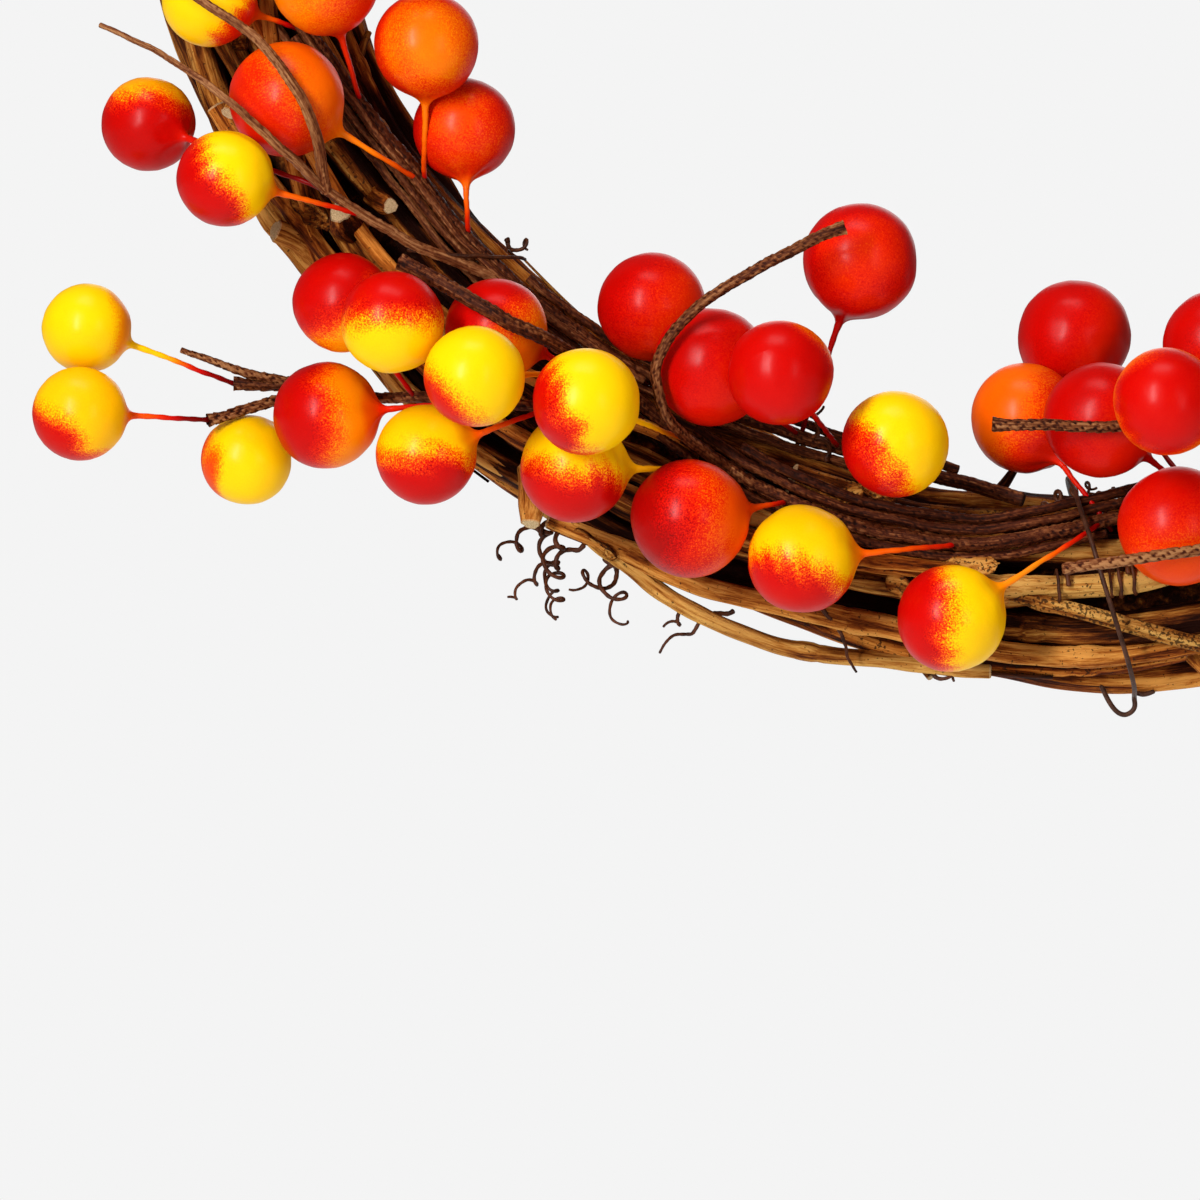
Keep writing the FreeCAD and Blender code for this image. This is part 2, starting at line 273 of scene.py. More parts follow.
def sweep(sculpt, p, radii, around, first=ANY_SIDE, tone=0.5, seed=0.0, hue=0.0, cut=(1.0, 1.0),
          rim=0.0, hollow=0.0, groove_shade=0.0, bundle_shade=0.0, speckle=0.0):
    """A bar along p. radii is a number, (n,) or (n, around). seed moves its grain, so that no two look alike.
    rim rounds its two ends over, and hollow sinks them with a darker wall, as painted shade. relief paints shade
    into its grooves and light onto its ridges, and buried paints shade on what lies deep in the bundle."""
    n = len(p)
    radii, hue = np.asarray(radii, float), np.asarray(hue, float)
    radii = np.broadcast_to(radii if radii.ndim == 2 else radii[..., None], (n, around))
    hue = np.broadcast_to(hue[..., None], (n, around))
    t, a, b = frames(p, first)
    c, s = np.cos(full_turn(around)), np.sin(full_turn(around))
    rows = p[:, None] + radii[..., None] * (c[None, :, None] * a[:, None] + s[None, :, None] * b[:, None])
    grain = np.stack([np.repeat(arc_lengths(p)[:, None], around, 1) + seed,
                      radii * c + seed * 0.37, radii * s - seed * 0.53], -1)
    # painted shade and light: darker in grooves and deep in the bundle, lighter on ridges
    shaded = tone + groove_shade * (radii / radii.mean(1, keepdims=True) - 1) - bundle_shade * painted_bundle_shade(rows)
    sculpt.grid(rows, grain, tone=shaded, hue=hue, speckle=speckle)
    for end, row, sign in ((0, 0, -1), (1, n - 1, 1)):
        outer, middle, hue_end = rows[row], p[row], hue[row, 0]
        if rim > 0:
            bulge = t[row] * sign * rim * radii[row].mean()
            turn = np.array((0, 0.35, 0.7, 1.0))[:, None, None] * math.pi / 2
            rings = middle + (outer - middle) * (1 - rim * (1 - np.cos(turn))) + bulge * np.sin(turn)
            sculpt.grid(rings[::sign], np.repeat(grain[row][None], 4, 0), tone=tone, hue=hue_end,
                        cut=cut[end] * 0.5)
            outer, middle = rings[-1], middle + bulge
        if hollow > 0:
            inner = middle + (outer - middle) * 0.62 - t[row] * sign * hollow
            # painted shade: the sunk wall of a hollow end is painted darker
            sculpt.grid(np.array([outer, inner])[::sign], np.repeat(grain[row][None], 2, 0), tone=tone * 0.4,
                        hue=hue_end, cut=0.0)
            outer, middle = inner, middle - t[row] * sign * hollow
        sculpt.cap(outer, middle, end == 1, grain[row], tone=tone, hue=hue_end, cut=cut[end])


# -------- materials
class Skin:
    """A material with one surface shader, and the nodes that feed it."""
    def __init__(self, name, inputs):
        self.material = bpy.data.materials.new(name)
        self.material.use_nodes = True
        self.nodes, self.links = self.material.node_tree.nodes, self.material.node_tree.links
        self.nodes.clear()
        out = self.nodes.new("ShaderNodeOutputMaterial")
        self.shader = self.nodes.new("ShaderNodeBsdfPrincipled")
        self.links.new(self.shader.outputs["BSDF"], out.inputs["Surface"])
        for key, value in inputs.items():
            self.shader.inputs[key].default_value = value

    def attribute(self, name, output="Fac"):
        node = self.nodes.new("ShaderNodeAttribute")
        node.attribute_name = name
        return node.outputs[output]

    def place(self):
        return self.nodes.new("ShaderNodeTexCoord").outputs["Object"]

    def feed(self, socket, value):
        if isinstance(value, (int, float)):
            socket.default_value = value
        elif isinstance(value, tuple):
            socket.default_value = (*value, 1)
        else:
            self.links.new(value, socket)

    def maths(self, operation, a, b):
        node = self.nodes.new("ShaderNodeMath")
        node.operation = operation
        self.feed(node.inputs[0], a)
        self.feed(node.inputs[1], b)
        return node.outputs[0]

    def total(self, first, *rest, clamp=False):
        """The sum of its terms, each a socket, a number, or a (socket, weight) pair."""
        terms = [self.maths("MULTIPLY", *t) if isinstance(t, tuple) else t for t in (first, *rest)]
        result = terms[0]
        for term in terms[1:]:
            result = self.maths("ADD", result, term)
        result.node.use_clamp = clamp
        return result

    def ramp(self, value, stops):
        node = self.nodes.new("ShaderNodeValToRGB")
        while len(node.color_ramp.elements) < len(stops):
            node.color_ramp.elements.new(0.5)
        for element, (at, colour) in zip(node.color_ramp.elements, stops):
            element.position = at
            element.color = (*colour, 1)
        self.links.new(value, node.inputs["Fac"])
        return node.outputs["Color"]

    def noise(self, vector, scale, detail=4.0, roughness=0.55, stretch=None, distortion=0.0):
        if stretch is not None:
            mapping = self.nodes.new("ShaderNodeMapping")
            mapping.inputs["Scale"].default_value = stretch
            self.links.new(vector, mapping.inputs["Vector"])
            vector = mapping.outputs["Vector"]
        node = self.nodes.new("ShaderNodeTexNoise")
        values = {"Scale": scale, "Detail": detail, "Roughness": roughness, "Distortion": distortion}
        for key, value in values.items():
            node.inputs[key].default_value = value
        self.links.new(vector, node.inputs["Vector"])
        return node.outputs["Fac"]

    def mix(self, factor, a, b, kind="MIX"):
        node = self.nodes.new("ShaderNodeMix")
        node.data_type = "RGBA"
        node.blend_type = kind
        for index, value in ((0, factor), (6, a), (7, b)):
            self.feed(node.inputs[index], value)
        return node.outputs[2]

    def finish(self, colour, height, strength, distance):
        """The colour and a bump from the height, which finish the material."""
        self.links.new(colour, self.shader.inputs["Base Color"])
        node = self.nodes.new("ShaderNodeBump")
        node.inputs["Strength"].default_value = strength
        node.inputs["Distance"].default_value = distance
        self.links.new(height, node.inputs["Height"])
        self.links.new(node.outputs["Normal"], self.shader.inputs["Normal"])
        return self.material


def bark_material(name, sculpted=True):
    """Dry vine bark: long fibres from near black to tan, a few black spots, and pale wood where it is cut.
    A mesh not sculpted here has no attributes, gets its fibres from where it is, and is painted darker, as painted
    shade."""
    skin = Skin(name, {"Roughness": 0.66, "Specular IOR Level": 0.05})
    place = skin.attribute("grain", "Vector") if sculpted else skin.place()
    fibres = skin.noise(place, 1.0, 6, 0.62, (55, 750, 750) if sculpted else (260, 260, 260), 0.4)
    fine = skin.noise(place, 1.0, 5, 0.65, (230, 2600, 2600) if sculpted else (900, 900, 900))
    patches = skin.noise(place, 1.0, 3, 0.5, (24, 130, 130) if sculpted else (60, 60, 60))
    spots = skin.noise(place, 1150.0, 2, 0.5)
    # painted shade: a mesh with no tone, the core vines deep in the bundle, is painted darker than a vine of
    # middle tone
    shade = skin.total((fibres, 1.5), (patches, 1.2), (fine, 0.9), -1.8 if sculpted else -1.65)
    if sculpted:
        # the tone attribute holds each piece's own tone plus painted shade in grooves, deep in the bundle and
        # under flakes, and painted light on ridges
        shade = skin.total(shade, skin.attribute("tone"), clamp=True)
    colour = skin.ramp(shade, [
        (0.10, (0.012, 0.002, 0.0006)), (0.30, (0.066, 0.014, 0.0022)), (0.48, (0.19, 0.053, 0.007)),
        (0.66, (0.38, 0.150, 0.025)), (0.90, (0.60, 0.32, 0.078))])
    if sculpted:
        colour = skin.mix(skin.attribute("hue"), colour, (1.15, 0.72, 0.42), "MULTIPLY")
        spots = skin.total(spots, (skin.attribute("speckle"), 0.14))
    spot = skin.ramp(spots, [(0.66, (0, 0, 0)), (0.71, (0.85, 0.85, 0.85))])
    colour = skin.mix(spot, colour, (0.02, 0.009, 0.004))
    if sculpted:
        wood = skin.ramp(fine, [(0.3, (0.42, 0.25, 0.10)), (0.7, (0.80, 0.62, 0.36))])
        colour = skin.mix(skin.attribute("cut"), colour, wood)
    return skin.finish(colour, skin.total(fibres, (fine, 0.6)), 0.9, 0.0008)


def stem_material(name):
    """Stem wire wound in brown paper: dark red-brown with paler worn ridges."""
    skin = Skin(name, {"Roughness": 0.5, "Specular IOR Level": 0.07})
    place = skin.attribute("grain", "Vector")
    wear = skin.noise(place, 1.0, 4, 0.55, (90, 1700, 1700), 0.3)
    fine = skin.noise(place, 1.0, 4, 0.65, (420, 4200, 4200))
    # the tone attribute holds each stem's own tone plus painted shade in its grooves and hollow ends, and painted
    # light on its ridges
    colour = skin.ramp(skin.total((wear, 1.3), (fine, 0.8), -1.05, skin.attribute("tone"), clamp=True), [
        (0.12, (0.012, 0.002, 0.0008)), (0.4, (0.060, 0.0115, 0.003)), (0.62, (0.165, 0.049, 0.015)),
        (0.9, (0.36, 0.16, 0.06))])
    colour = skin.mix(skin.attribute("cut"), colour, (0.03, 0.014, 0.009))
    return skin.finish(colour, skin.total(wear, fine), 0.55, 0.0003)


# lacquer colours by hue: 0 yellow, 0.45 orange, 1 red, and dark red beyond
HUE_TOP = 1.4
LACQUER = [(0.0, (0.96, 0.57, 0.001)), (0.22, (0.92, 0.33, 0.001)), (0.45, (0.84, 0.125, 0.0005)),
           (0.7, (0.71, 0.019, 0.0005)), (0.95, (0.54, 0.0015, 0.0004)), (1.15, (0.25, 0.001, 0.0005)),
           (1.38, (0.06, 0.001, 0.001))]


def lacquer_material(name, roughness, coat):
    """Sprayed lacquer, from yellow through orange to red by the hue attribute, with overspray in between."""
    skin = Skin(name, {"Roughness": roughness, "Specular IOR Level": 0.06, "Coat Weight": coat,
                       "Coat Roughness": 0.22})
    place = skin.place()
    grains = skin.noise(place, 2500.0, 2, 0.6)
    mist = skin.noise(place, 900.0, 3, 0.6)
    cloud = skin.noise(place, 110.0, 3, 0.5)
    ripples = skin.noise(place, 420.0, 3, 0.5)
    spread = skin.total((grains, 4.4), -2.2, (mist, 0.6), -0.3)
    hue = skin.total(skin.attribute("hue"), (spread, skin.attribute("speckle")), (cloud, 0.10), -0.05)
    value = skin.maths("DIVIDE", hue, HUE_TOP)
    value.node.use_clamp = True
    colour = skin.ramp(value, [(h / HUE_TOP, c) for h, c in LACQUER])
    return skin.finish(colour, skin.total(ripples, (grains, 0.12)), 0.16, 0.0004)


def wire_material(name, dark, light, metallic, roughness):
    """Thin stained wire or a dry tendril."""
    skin = Skin(name, {"Roughness": roughness, "Metallic": metallic, "Specular IOR Level": 0.16})
    place = skin.place()
    stain, fine = skin.noise(place, 300.0, 5, 0.6), skin.noise(place, 1800.0, 3, 0.6)
    colour = skin.ramp(skin.total((stain, 0.7), (fine, 0.3)), [(0.35, dark), (0.68, light)])
    return skin.finish(colour, fine, 0.4, 0.0002)


bark = bark_material("vine_bark")
shaded_inner_bark = bark_material("shaded_inner_vine_bark", sculpted=False)
paper = stem_material("wrapped_stem")
lacquer = lacquer_material("berry_lacquer", 0.34, 0.055)
wire_lacquer = lacquer_material("berry_wire_lacquer", 0.40, 0.05)
tendril_skin = wire_material("tendril_skin", (0.012, 0.003, 0.001), (0.115, 0.030, 0.008), 0.0, 0.5)
dark_wire = wire_material("annealed_wire", (0.018, 0.006, 0.003), (0.090, 0.034, 0.017), 0.1, 0.45)


# -------- vines
OUTER_VINES = 12
OUTER_VINE_RING = 18 * MM
OUTER_VINE_RADII = (4.4, 3.8, 4.3, 3.6)   # mm
FIRST_CUT_ANGLE = 57.0
GOLDEN_ANGLE = 137.5
CUT_GAPS = (9.0, 14.0, 11.0, 17.0)        # degrees
HANGER_ANGLE = 180.0
SQUEEZE, SQUEEZE_ANGLE, SQUEEZE_REACH = 0.24, 21.0, 9.0   # its share, and in degrees where and how wide
VINE_STEP = 2.2 * MM
VINE_AROUND = 24
FIRST_KNOT, KNOT_SPACING, KNOT_TO_END = (0.02, 0.08), (0.07, 0.15), 0.02
STRIPS, STRIP_HALF_THICKNESS = 7, 0.3 * MM   # of lifted bark on each vine
# flutes along a vine: how many go round it, and how deep they are as a share of its radius
FLUTES = ((1, 0.05), (2, 0.07), (3, 0.055), (5, 0.04), (7, 0.03))
KNOT_REACH = 4.5 * MM
# a knot's creases: how far along from it, how deep and how wide
CREASES = ((2.8 * MM, 0.10, 0.9 * MM), (-3.5 * MM, 0.07, 0.8 * MM))
VINE_TONES = (0.58, 0.46, 0.38, 0.54, 0.63, 0.42, 0.50, 0.60, 0.37, 0.53, 0.46, 0.61)


def turn_about(v, axis, angle):
    c, s, axis = math.cos(angle), math.sin(angle), unit(axis)
    return v * c + np.cross(axis, v) * s + axis * axis.dot(v) * (1 - c)


def vine_line(distance, phase_angle, cut_angle, cut_gap, step):
    """The open circle that the CAD vine follows, winding once round the bundle's middle."""
    side = outward(phase_angle)
    normal = turn_about(FRONT, side, math.asin(distance / RING_RADIUS))
    centre = CENTRE + side * distance
    start = turn_about(side, normal, math.radians(-(cut_angle + cut_gap / 2 - phase_angle)))
    across = np.cross(normal, start)
    sweep_angle = math.radians(360 - cut_gap)
    a = -np.linspace(0, sweep_angle, int(RING_RADIUS * sweep_angle / step))
    return centre + RING_RADIUS * (np.cos(a)[:, None] * start + np.sin(a)[:, None] * across)


def near_hanger(p):
    """1 close to the hanger's band, where the vines keep to their true lines, falling to 0 away from it."""
    return np.clip(1 - (np.abs(ring_angle(p) - HANGER_ANGLE) - 5) / 6, 0, 1)


def bark_radii(p, radius, around, rng, knots):
    """Radius of a vine at each place: flutes that twist slowly, swellings, and knots with a crease."""
    s, theta = arc_lengths(p)[:, None], full_turn(around)[None, :]
    r = np.ones((len(p), around))
    for k, size in FLUTES:
        f = rng.uniform(25, 90)
        twist = phase(rng) + rng.uniform(-14, 14) * s
        r += size * np.sin(k * theta + twist + 1.5 * np.sin(f * s + phase(rng)))
    for _ in range(5):
        r += 0.016 * np.sin(rng.uniform(60, 600) * s + rng.integers(1, 5) * theta + phase(rng))
    for _ in range(3):
        groove = np.sin(rng.integers(1, 4) * theta + rng.uniform(-16, 16) * s + phase(rng))
        r -= 0.12 * np.clip(groove - 0.86, 0, 1) / 0.14
    r *= 0.93 + 0.07 * np.sin(rng.uniform(9, 16) * s + phase(rng))
    for where, side in knots:
        d = s - where
        r += 0.20 * np.exp(-(d / KNOT_REACH) ** 2) * (0.75 + 0.45 * np.cos(theta - side))
        for at, depth, width in CREASES:
            r -= depth * np.exp(-((d - at) / width) ** 2)
    return radius * r


def squeezed(p):
    """The bundle drawn in on its outer side, at one place in each spray's reach."""
    away = (ring_angle(p) - SQUEEZE_ANGLE + SPRAY_PITCH / 2) % SPRAY_PITCH - SPRAY_PITCH / 2
    middle = bundle_middle(p)
    outer = np.clip((np.linalg.norm((p - CENTRE) * (1, 0, 1), axis=1) - RING_RADIUS) / OUTER_VINE_RING, 0, 1)
    return middle + (p - middle) * (1 - SQUEEZE * outer * np.exp(-(away / SQUEEZE_REACH) ** 2))[:, None]


def side_shoots(sculpt, p, s, radius, knots, tone, number, rng):
    """Short side shoots, broken off or cut, at some knots."""
    _, a, b = frames(p)
    for where, side in knots:
        i = int(np.searchsorted(s, where))
        out = a[i] * math.cos(side) + b[i] * math.sin(side)
        if out.dot(off_bundle(p[i])) < 0.35 or rng.uniform() < 0.35:
            continue
        tangent = unit(p[min(i + 1, len(p) - 1)] - p[i - 1])
        size = rng.uniform(0.004, 0.010)
        lean = unit(out * 0.75 + tangent * rng.choice((-1, 1)) * rng.uniform(0.3, 1.0))
        t = np.linspace(0, 1, 7)[:, None]
        shoot = p[i] + out * radius * 0.6 + lean * size * t + out * 0.0012 * t * t
        sweep(sculpt, shoot, np.linspace(1.6, 0.95, 7) * MM * rng.uniform(0.7, 1.15), 10, tone=tone - 0.08,
              seed=number + where, rim=0.3)


def bark_strips(sculpt, p, radius, keep, last_knot, tone, rng):
    """Strips of bark that have lifted at one end."""
    for _ in range(STRIPS):
        i = int(rng.uniform(0.03, 0.95) * len(p))
        if keep[i] > 0 or i + 16 >= len(p):
            continue
        away = off_bundle(p[i])
        j = np.arange(i, i + int(rng.integers(8, 15)))
        t = np.linspace(0, 1, len(j))[:, None]
        lift = rng.uniform(0.0003, 0.0009)
        base = p[j] + away * (radius + lift * t ** 2.2)
        sideways = unit(np.cross(away, p[j[-1]] - p[j[0]]))
        base = base + sideways * rng.uniform(-0.002, 0.002) * t
        width = rng.uniform(0.0008, 0.0016) * (1 - 0.75 * t ** 3)
        flat = 1 / np.hypot(np.cos(full_turn(8)) / STRIP_HALF_THICKNESS, np.sin(full_turn(8)) / width)
        sweep(sculpt, base, flat, 8, first=away, tone=tone + rng.uniform(-0.18, 0.12), seed=last_knot + i,
              cut=(0, 0))


def make_vine(number):
    rng = np.random.default_rng(100 + number)
    radius, tone = OUTER_VINE_RADII[number % 4] * MM, VINE_TONES[number]
    line = vine_line(OUTER_VINE_RING, number * 360 / OUTER_VINES, FIRST_CUT_ANGLE + number * GOLDEN_ANGLE,
                     CUT_GAPS[number % 4], VINE_STEP)
    calm = near_hanger(line)[:, None]
    p = line * calm + squeezed(wander(line, rng, "vine")) * (1 - calm)
    s, keep = arc_lengths(p), near_hanger(p)
    knots, where = [], rng.uniform(*FIRST_KNOT)
    while where < s[-1] - KNOT_TO_END:
        knots.append((where, phase(rng)))
        where += rng.uniform(*KNOT_SPACING)
    knots = [knot for knot in knots if np.interp(knot[0], s, keep) == 0]
    r = bark_radii(p, radius, VINE_AROUND, rng, knots)
    r = np.minimum(r, radius * (1.25 - 0.22 * keep[:, None]))
    sculpt = Sculpt()
    sweep(sculpt, p, r, VINE_AROUND, tone=tone, seed=number * 1.7, rim=0.22, groove_shade=1.7, bundle_shade=0.6,
          hue=rng.uniform(0, 0.8), speckle=0.5 * (number % 4 == 1))
    side_shoots(sculpt, p, s, radius, knots, tone, number, rng)
    bark_strips(sculpt, p, radius, keep, knots[-1][0], tone, rng)
    vine = f"vine_{number + 1:02d}"
    sculpt.build(f"bark_{vine}", bark, "wreath", "vine_bark", vine)


# -------- sprays
INNER_STEM = lane((5, -22), (10, -24), (16, -25), (19, -24.7), (22, -24), (28, -22), (34, -19.5), (40, -17.5),
                  (45, -16.5), (50, -15), (55, -15), (62, -12), (68, -8), (74, -3), (80, 3))
INNER_TWIGS = [
    [(45, -16.5, 20.7), (49.8, -9, 26.5), (52.8, -3, 29.5), (55.5, 1, 33), (58, 5, 40), (61.5, 9, 50),
     (64.5, 13, 53), (67.5, 19, 50), (70.3, 27, 44), (72.5, 37, 40)],
    [(58, 5, 40), (61.5, 0, 51), (65, -0.5, 53.5), (69, 4, 52), (73, 16, 49), (76.5, 27, 46)]]
OUTER_STEM = lane((-18, -21), (-12, -21), (-8, -20), (-1, -17.5), (5, -12), (9, -9), (16, -8), (21, -8.5),
                  (25.5, -10), (29, -11.5), (33, -13.5)) + [
    (37, -13.5, 30), (40, -12.5, 44), (42, -10.5, 49), (44.5, -8, 51), (47.5, -5, 49), (51.6, 0, 42)]
OUTER_TWIGS = [
    [*lane((-18, -21)), (-13, -29, 32), (-6, -40, 41.5), (-2, -38.7, 48), (8.2, -38, 50)],
    [*lane((-12, -21)), (-12, -14, 36), (-10.5, -10, 48), (-6, -8.5, 53), (2.1, -6, 53)]]
# twigs that bend at a joint run through its hinge in one piece, each towards the point after it
TIP_HINGE, TIP_AFTER = (48.0, 31, 9), (49.9, 37, 8)
TIP_CARRIER = [*lane((33, -13.5)), (38, 0, 27.2), (42, 10, 25), (44.8, 19, 17.5), (46.7, 27, 9.7), TIP_HINGE,
               TIP_AFTER, (52.2, 49, 8)]
TIP_TWIGS = [
    [(49.0, 34, 8.5), (50.2, 46, 13), (51.5, 59, 18)],
    [TIP_AFTER, (52.6, 47, 10.5), (55.2, 54, 13)]]
FREE_HINGE, FREE_AFTER = (32.3, -16.5, 48), (34.0, -22.5, 50.5)
FREE_TWIG = [*lane((25.5, -10)), (29.5, -11.5, 38), (31, -13, 45.5), FREE_HINGE, FREE_AFTER,
             (34.3, -32, 52), (32.9, -45, 53), (28.8, -64, 55), (25.8, -72, 54)]
BEND_REACH = 6 * MM              # how far either side of its hinge the bend's start and end lie
PAPER_STEP = 0.6 * MM
PAPER_AROUND = 14


def alongside(route, first, last, shift, tuck):
    """A thinner strand beside a stem, following part of its route."""
    return [(angle, offset + shift, height - tuck) for angle, offset, height in route[first:last]]


# stems wound in paper: route, radius in mm, tone, and how it differs from a plain one
INNER_STEMS = [
    (INNER_STEM, 1.7, 0.40, {"creased": 0.5}),
    (INNER_TWIGS[0], 1.45, 0.66, {"taper": 0.42, "creased": 0.25}),
    (INNER_TWIGS[1], 1.35, 0.62, {"taper": 0.7, "creased": 0.25}),
    (alongside(INNER_STEM, 1, 9, -3.0, 1.2), 1.15, 0.34, {"creased": 0.4}),
    (alongside(INNER_STEM, 2, 13, 3.2, -0.2), 1.2, 0.46, {"creased": 0.3}),
    (alongside(INNER_STEM, 8, 15, 5.6, 1.6), 1.05, 0.52, {"creased": 0.2}),
    (alongside(INNER_STEM, 6, 14, 1.2, -2.2), 1.1, 0.48, {"creased": 0.3})]
OUTER_STEMS = [
    (OUTER_STEM, 1.7, 0.40, {"frayed": True, "creased": 0.6}),
    (OUTER_TWIGS[0], 1.4, 0.50, {"frayed": True}),
    (OUTER_TWIGS[1], 1.4, 0.68, {}),
    (alongside(OUTER_STEM, 1, 10, -3.3, 0.9), 1.3, 0.32, {"creased": 0.4}),
    (alongside(OUTER_STEM, 3, 11, 3.2, 0.1), 1.2, 0.36, {"creased": 0.5}),
    (alongside(OUTER_STEM, 0, 9, -6.0, 2.4), 1.25, 0.28, {"creased": 0.4})]
TIP_STEMS = [(TIP_TWIGS[0], 1.35, 0.55, {"frayed": True}), (TIP_TWIGS[1], 1.3, 0.62, {"taper": 0.55})]


def paper_radii(p, radius, around, rng, taper, creased):
    """Radius of a paper-wound stem: a helical lap, wrinkles across it, and soft kinks."""
    s, theta = arc_lengths(p)[:, None], full_turn(around)[None, :]
    pitch = rng.uniform(0.0058, 0.0070)
    lap = (s / pitch + theta / math.pi + 0.05 * np.sin(700 * s + phase(rng))) % 0.5 * 2
    r = 1 + creased * (0.16 * (lap - 0.5) - 0.30 * np.exp(-((lap - 0.06) / 0.10) ** 2))
    for _ in range(5):
        wrinkle = np.sin(rng.uniform(1500, 4200) * s + rng.integers(-3, 4) * theta + phase(rng))
        r = r + 0.028 * wrinkle * (0.5 + 0.5 * np.sin(rng.uniform(80, 300) * s + phase(rng)))
    for k in (2, 3):
        r = r + 0.045 * np.sin(k * theta + rng.uniform(-120, 120) * s + phase(rng))
    return radius * r * (1 - (1 - taper) * (s / s[-1]) ** 1.5)


def paper_stem(sculpt, route, radius, tone, k, rng, taper=1.0, frayed=False, creased=1.0):
    p = wander(ring_route(route, PAPER_STEP, k), rng, "paper")
    r = paper_radii(p, radius * MM, PAPER_AROUND, rng, taper, creased)
    if frayed:
        theta = full_turn(PAPER_AROUND)
        tip = np.clip((np.arange(len(p)) - (len(p) - 7)) / 6, 0, 1)[:, None]
        r = r * (1 + tip * (0.22 + 0.18 * np.sin(3 * theta + phase(rng)) + 0.10 * np.sin(7 * theta)))
    sweep(sculpt, p, r, PAPER_AROUND, tone=tone, seed=rng.uniform(0, 9), hollow=0.0011 if frayed else 0.0,
          rim=0.0 if frayed else 0.35, cut=(1.0, 1.0 if frayed else 0.0), groove_shade=1.3)


def paper_piece(name, stems, k, rng, body, replaces=None, bend=None):
    sculpt = Sculpt()
    for route, radius, tone, other in stems:
        paper_stem(sculpt, route, radius, tone, k, rng, **other)
    sculpt.build(f"paper_{name}_{k + 1}", paper, body, "wrapped_stem", replaces, bend)


def bending_twig(name, route, hinge, after, k, rng, body, replaces):
    """A twig in one piece through its hinge, from the ring towards the body beyond, left in place on no body."""
    at, towards = turned([ring_point(*hinge), ring_point(*after)], k)
    reach = unit(towards - at) * BEND_REACH
    stems = [(route, 1.35, 0.5, {"frayed": True, "creased": 0.7})]
    paper_piece(name, stems, k, rng, "wreath", replaces, (body, at - reach, at + reach))


# berry finishes: hue on one side and the other (0 yellow, 0.45 orange, 1 red), the side that is second in
# degrees anticlockwise from the right as seen from the front (or "edge" for the rim all round, or "rim_up"
# for its upper right), where it starts from -1 to 1, how gradual it is, and its wire's hue at the berry and
# at the stem
Finish = namedtuple("Finish", "first second side start width neck_hue stem_hue")
FINISHES = {
    "lemon_blush": (0.00, 0.75, -40, 0.72, 0.45, 0.5, 1.2),
    "orange_warm": (0.38, 0.72, -20, 0.25, 1.55, 0.7, 0.8),
    "orange_rim": (0.42, 0.80, "edge", -0.50, 0.95, 0.42, 0.6),
    "ember_rim": (0.62, 0.95, "edge", -0.60, 0.95, 0.5, 0.8),
    "orange_red": (0.48, 0.80, 215, 0.05, 1.40, 0.4, 0.62),
    "red_crest": (0.20, 1.00, 262, -0.52, 0.65, 0.9, 1.2),
    "lemon_red": (0.00, 0.97, 212, 0.10, 0.65, 0.5, 0.85),
    "lemon": (0.00, 0.30, 0, 0.70, 0.45, 0.02, 1.15),
    "lemon_rim": (0.10, 0.92, 228, 0.45, 0.65, 0.6, 1.25),
    "lemon_edge": (0.02, 0.60, 190, 0.70, 0.40, 0.2, 0.6),
    "split_red": (0.34, 0.98, 182, 0.00, 0.80, 0.8, 0.95),
    "red_gold": (0.28, 0.97, 130, -0.20, 0.85, 0.8, 1.0),
    "cap_red": (0.02, 0.95, 98, 0.06, 0.80, 0.6, 0.9),
    "dusk": (0.42, 0.96, 125, 0.05, 0.95, 0.9, 1.0),
    "lemon_toe": (0.00, 0.85, 225, 0.55, 0.55, 0.35, 0.7),
    "half_red": (0.04, 0.97, 265, 0.05, 0.70, 0.55, 0.9),
    "lemon_side": (0.00, 0.97, 205, 0.42, 0.65, 0.1, 0.42),
    "low_red": (0.00, 0.97, 262, 0.10, 0.70, 0.12, 0.5),
    "red": (0.86, 1.00, 150, 0.00, 1.25, 1.0, 1.2),
    "red_warm": (0.70, 1.00, 150, 0.00, 1.40, 0.9, 1.1),
    "red_halo": (0.97, 0.42, "rim_up", 0.42, 0.60, 0.9, 1.0),
    "red_heart": (0.72, 1.00, "edge", -0.75, 0.95, 1.1, 1.25),
    "lemon_cheek": (0.02, 0.95, 215, 0.36, 0.70, 0.5, 0.9),
    "dark_side": (0.58, 1.10, 182, -0.05, 1.40, 0.6, 0.9),
    "gold_low": (0.02, 0.95, 252, 0.22, 0.75, 0.5, 0.75),
    "gold_right": (0.02, 0.97, 186, 0.08, 0.70, 0.35, 0.95),
    "amber_low": (0.50, 0.90, -30, 0.20, 1.10, 0.8, 1.0),
    "red_fringe": (0.95, 0.45, "edge", -0.28, 0.60, 0.9, 1.0),
    "sunset": (0.62, 0.92, 100, 0.00, 1.40, 0.8, 0.9),
}
# finishes in order round the ring, for the berries of each kind of spray
INNER_FINISHES = ["lemon_cheek", "red_heart", "red_halo", "red", "red_warm", "ember_rim", "lemon_red",
                  "orange_rim", "orange_red", "red_crest", "orange_warm", "lemon_blush"]
OUTER_FINISHES = ["red_warm", "sunset", "red_fringe", "red", "red", "amber_low", "gold_right", "gold_low",
                  "dark_side", "low_red", "lemon_side", "half_red", "lemon_toe", "dusk", "split_red", "cap_red",
                  "red_gold"]
TIP_FINISHES = ["lemon_edge", "lemon_rim", "lemon"]
BERRY_AROUND, BALL_ROWS, NECK_ROWS = 44, 30, 12
BALL_LATITUDE = 57               # where the ball turns into its neck, in degrees
NECK_END_RADIUS = 0.75 * MM
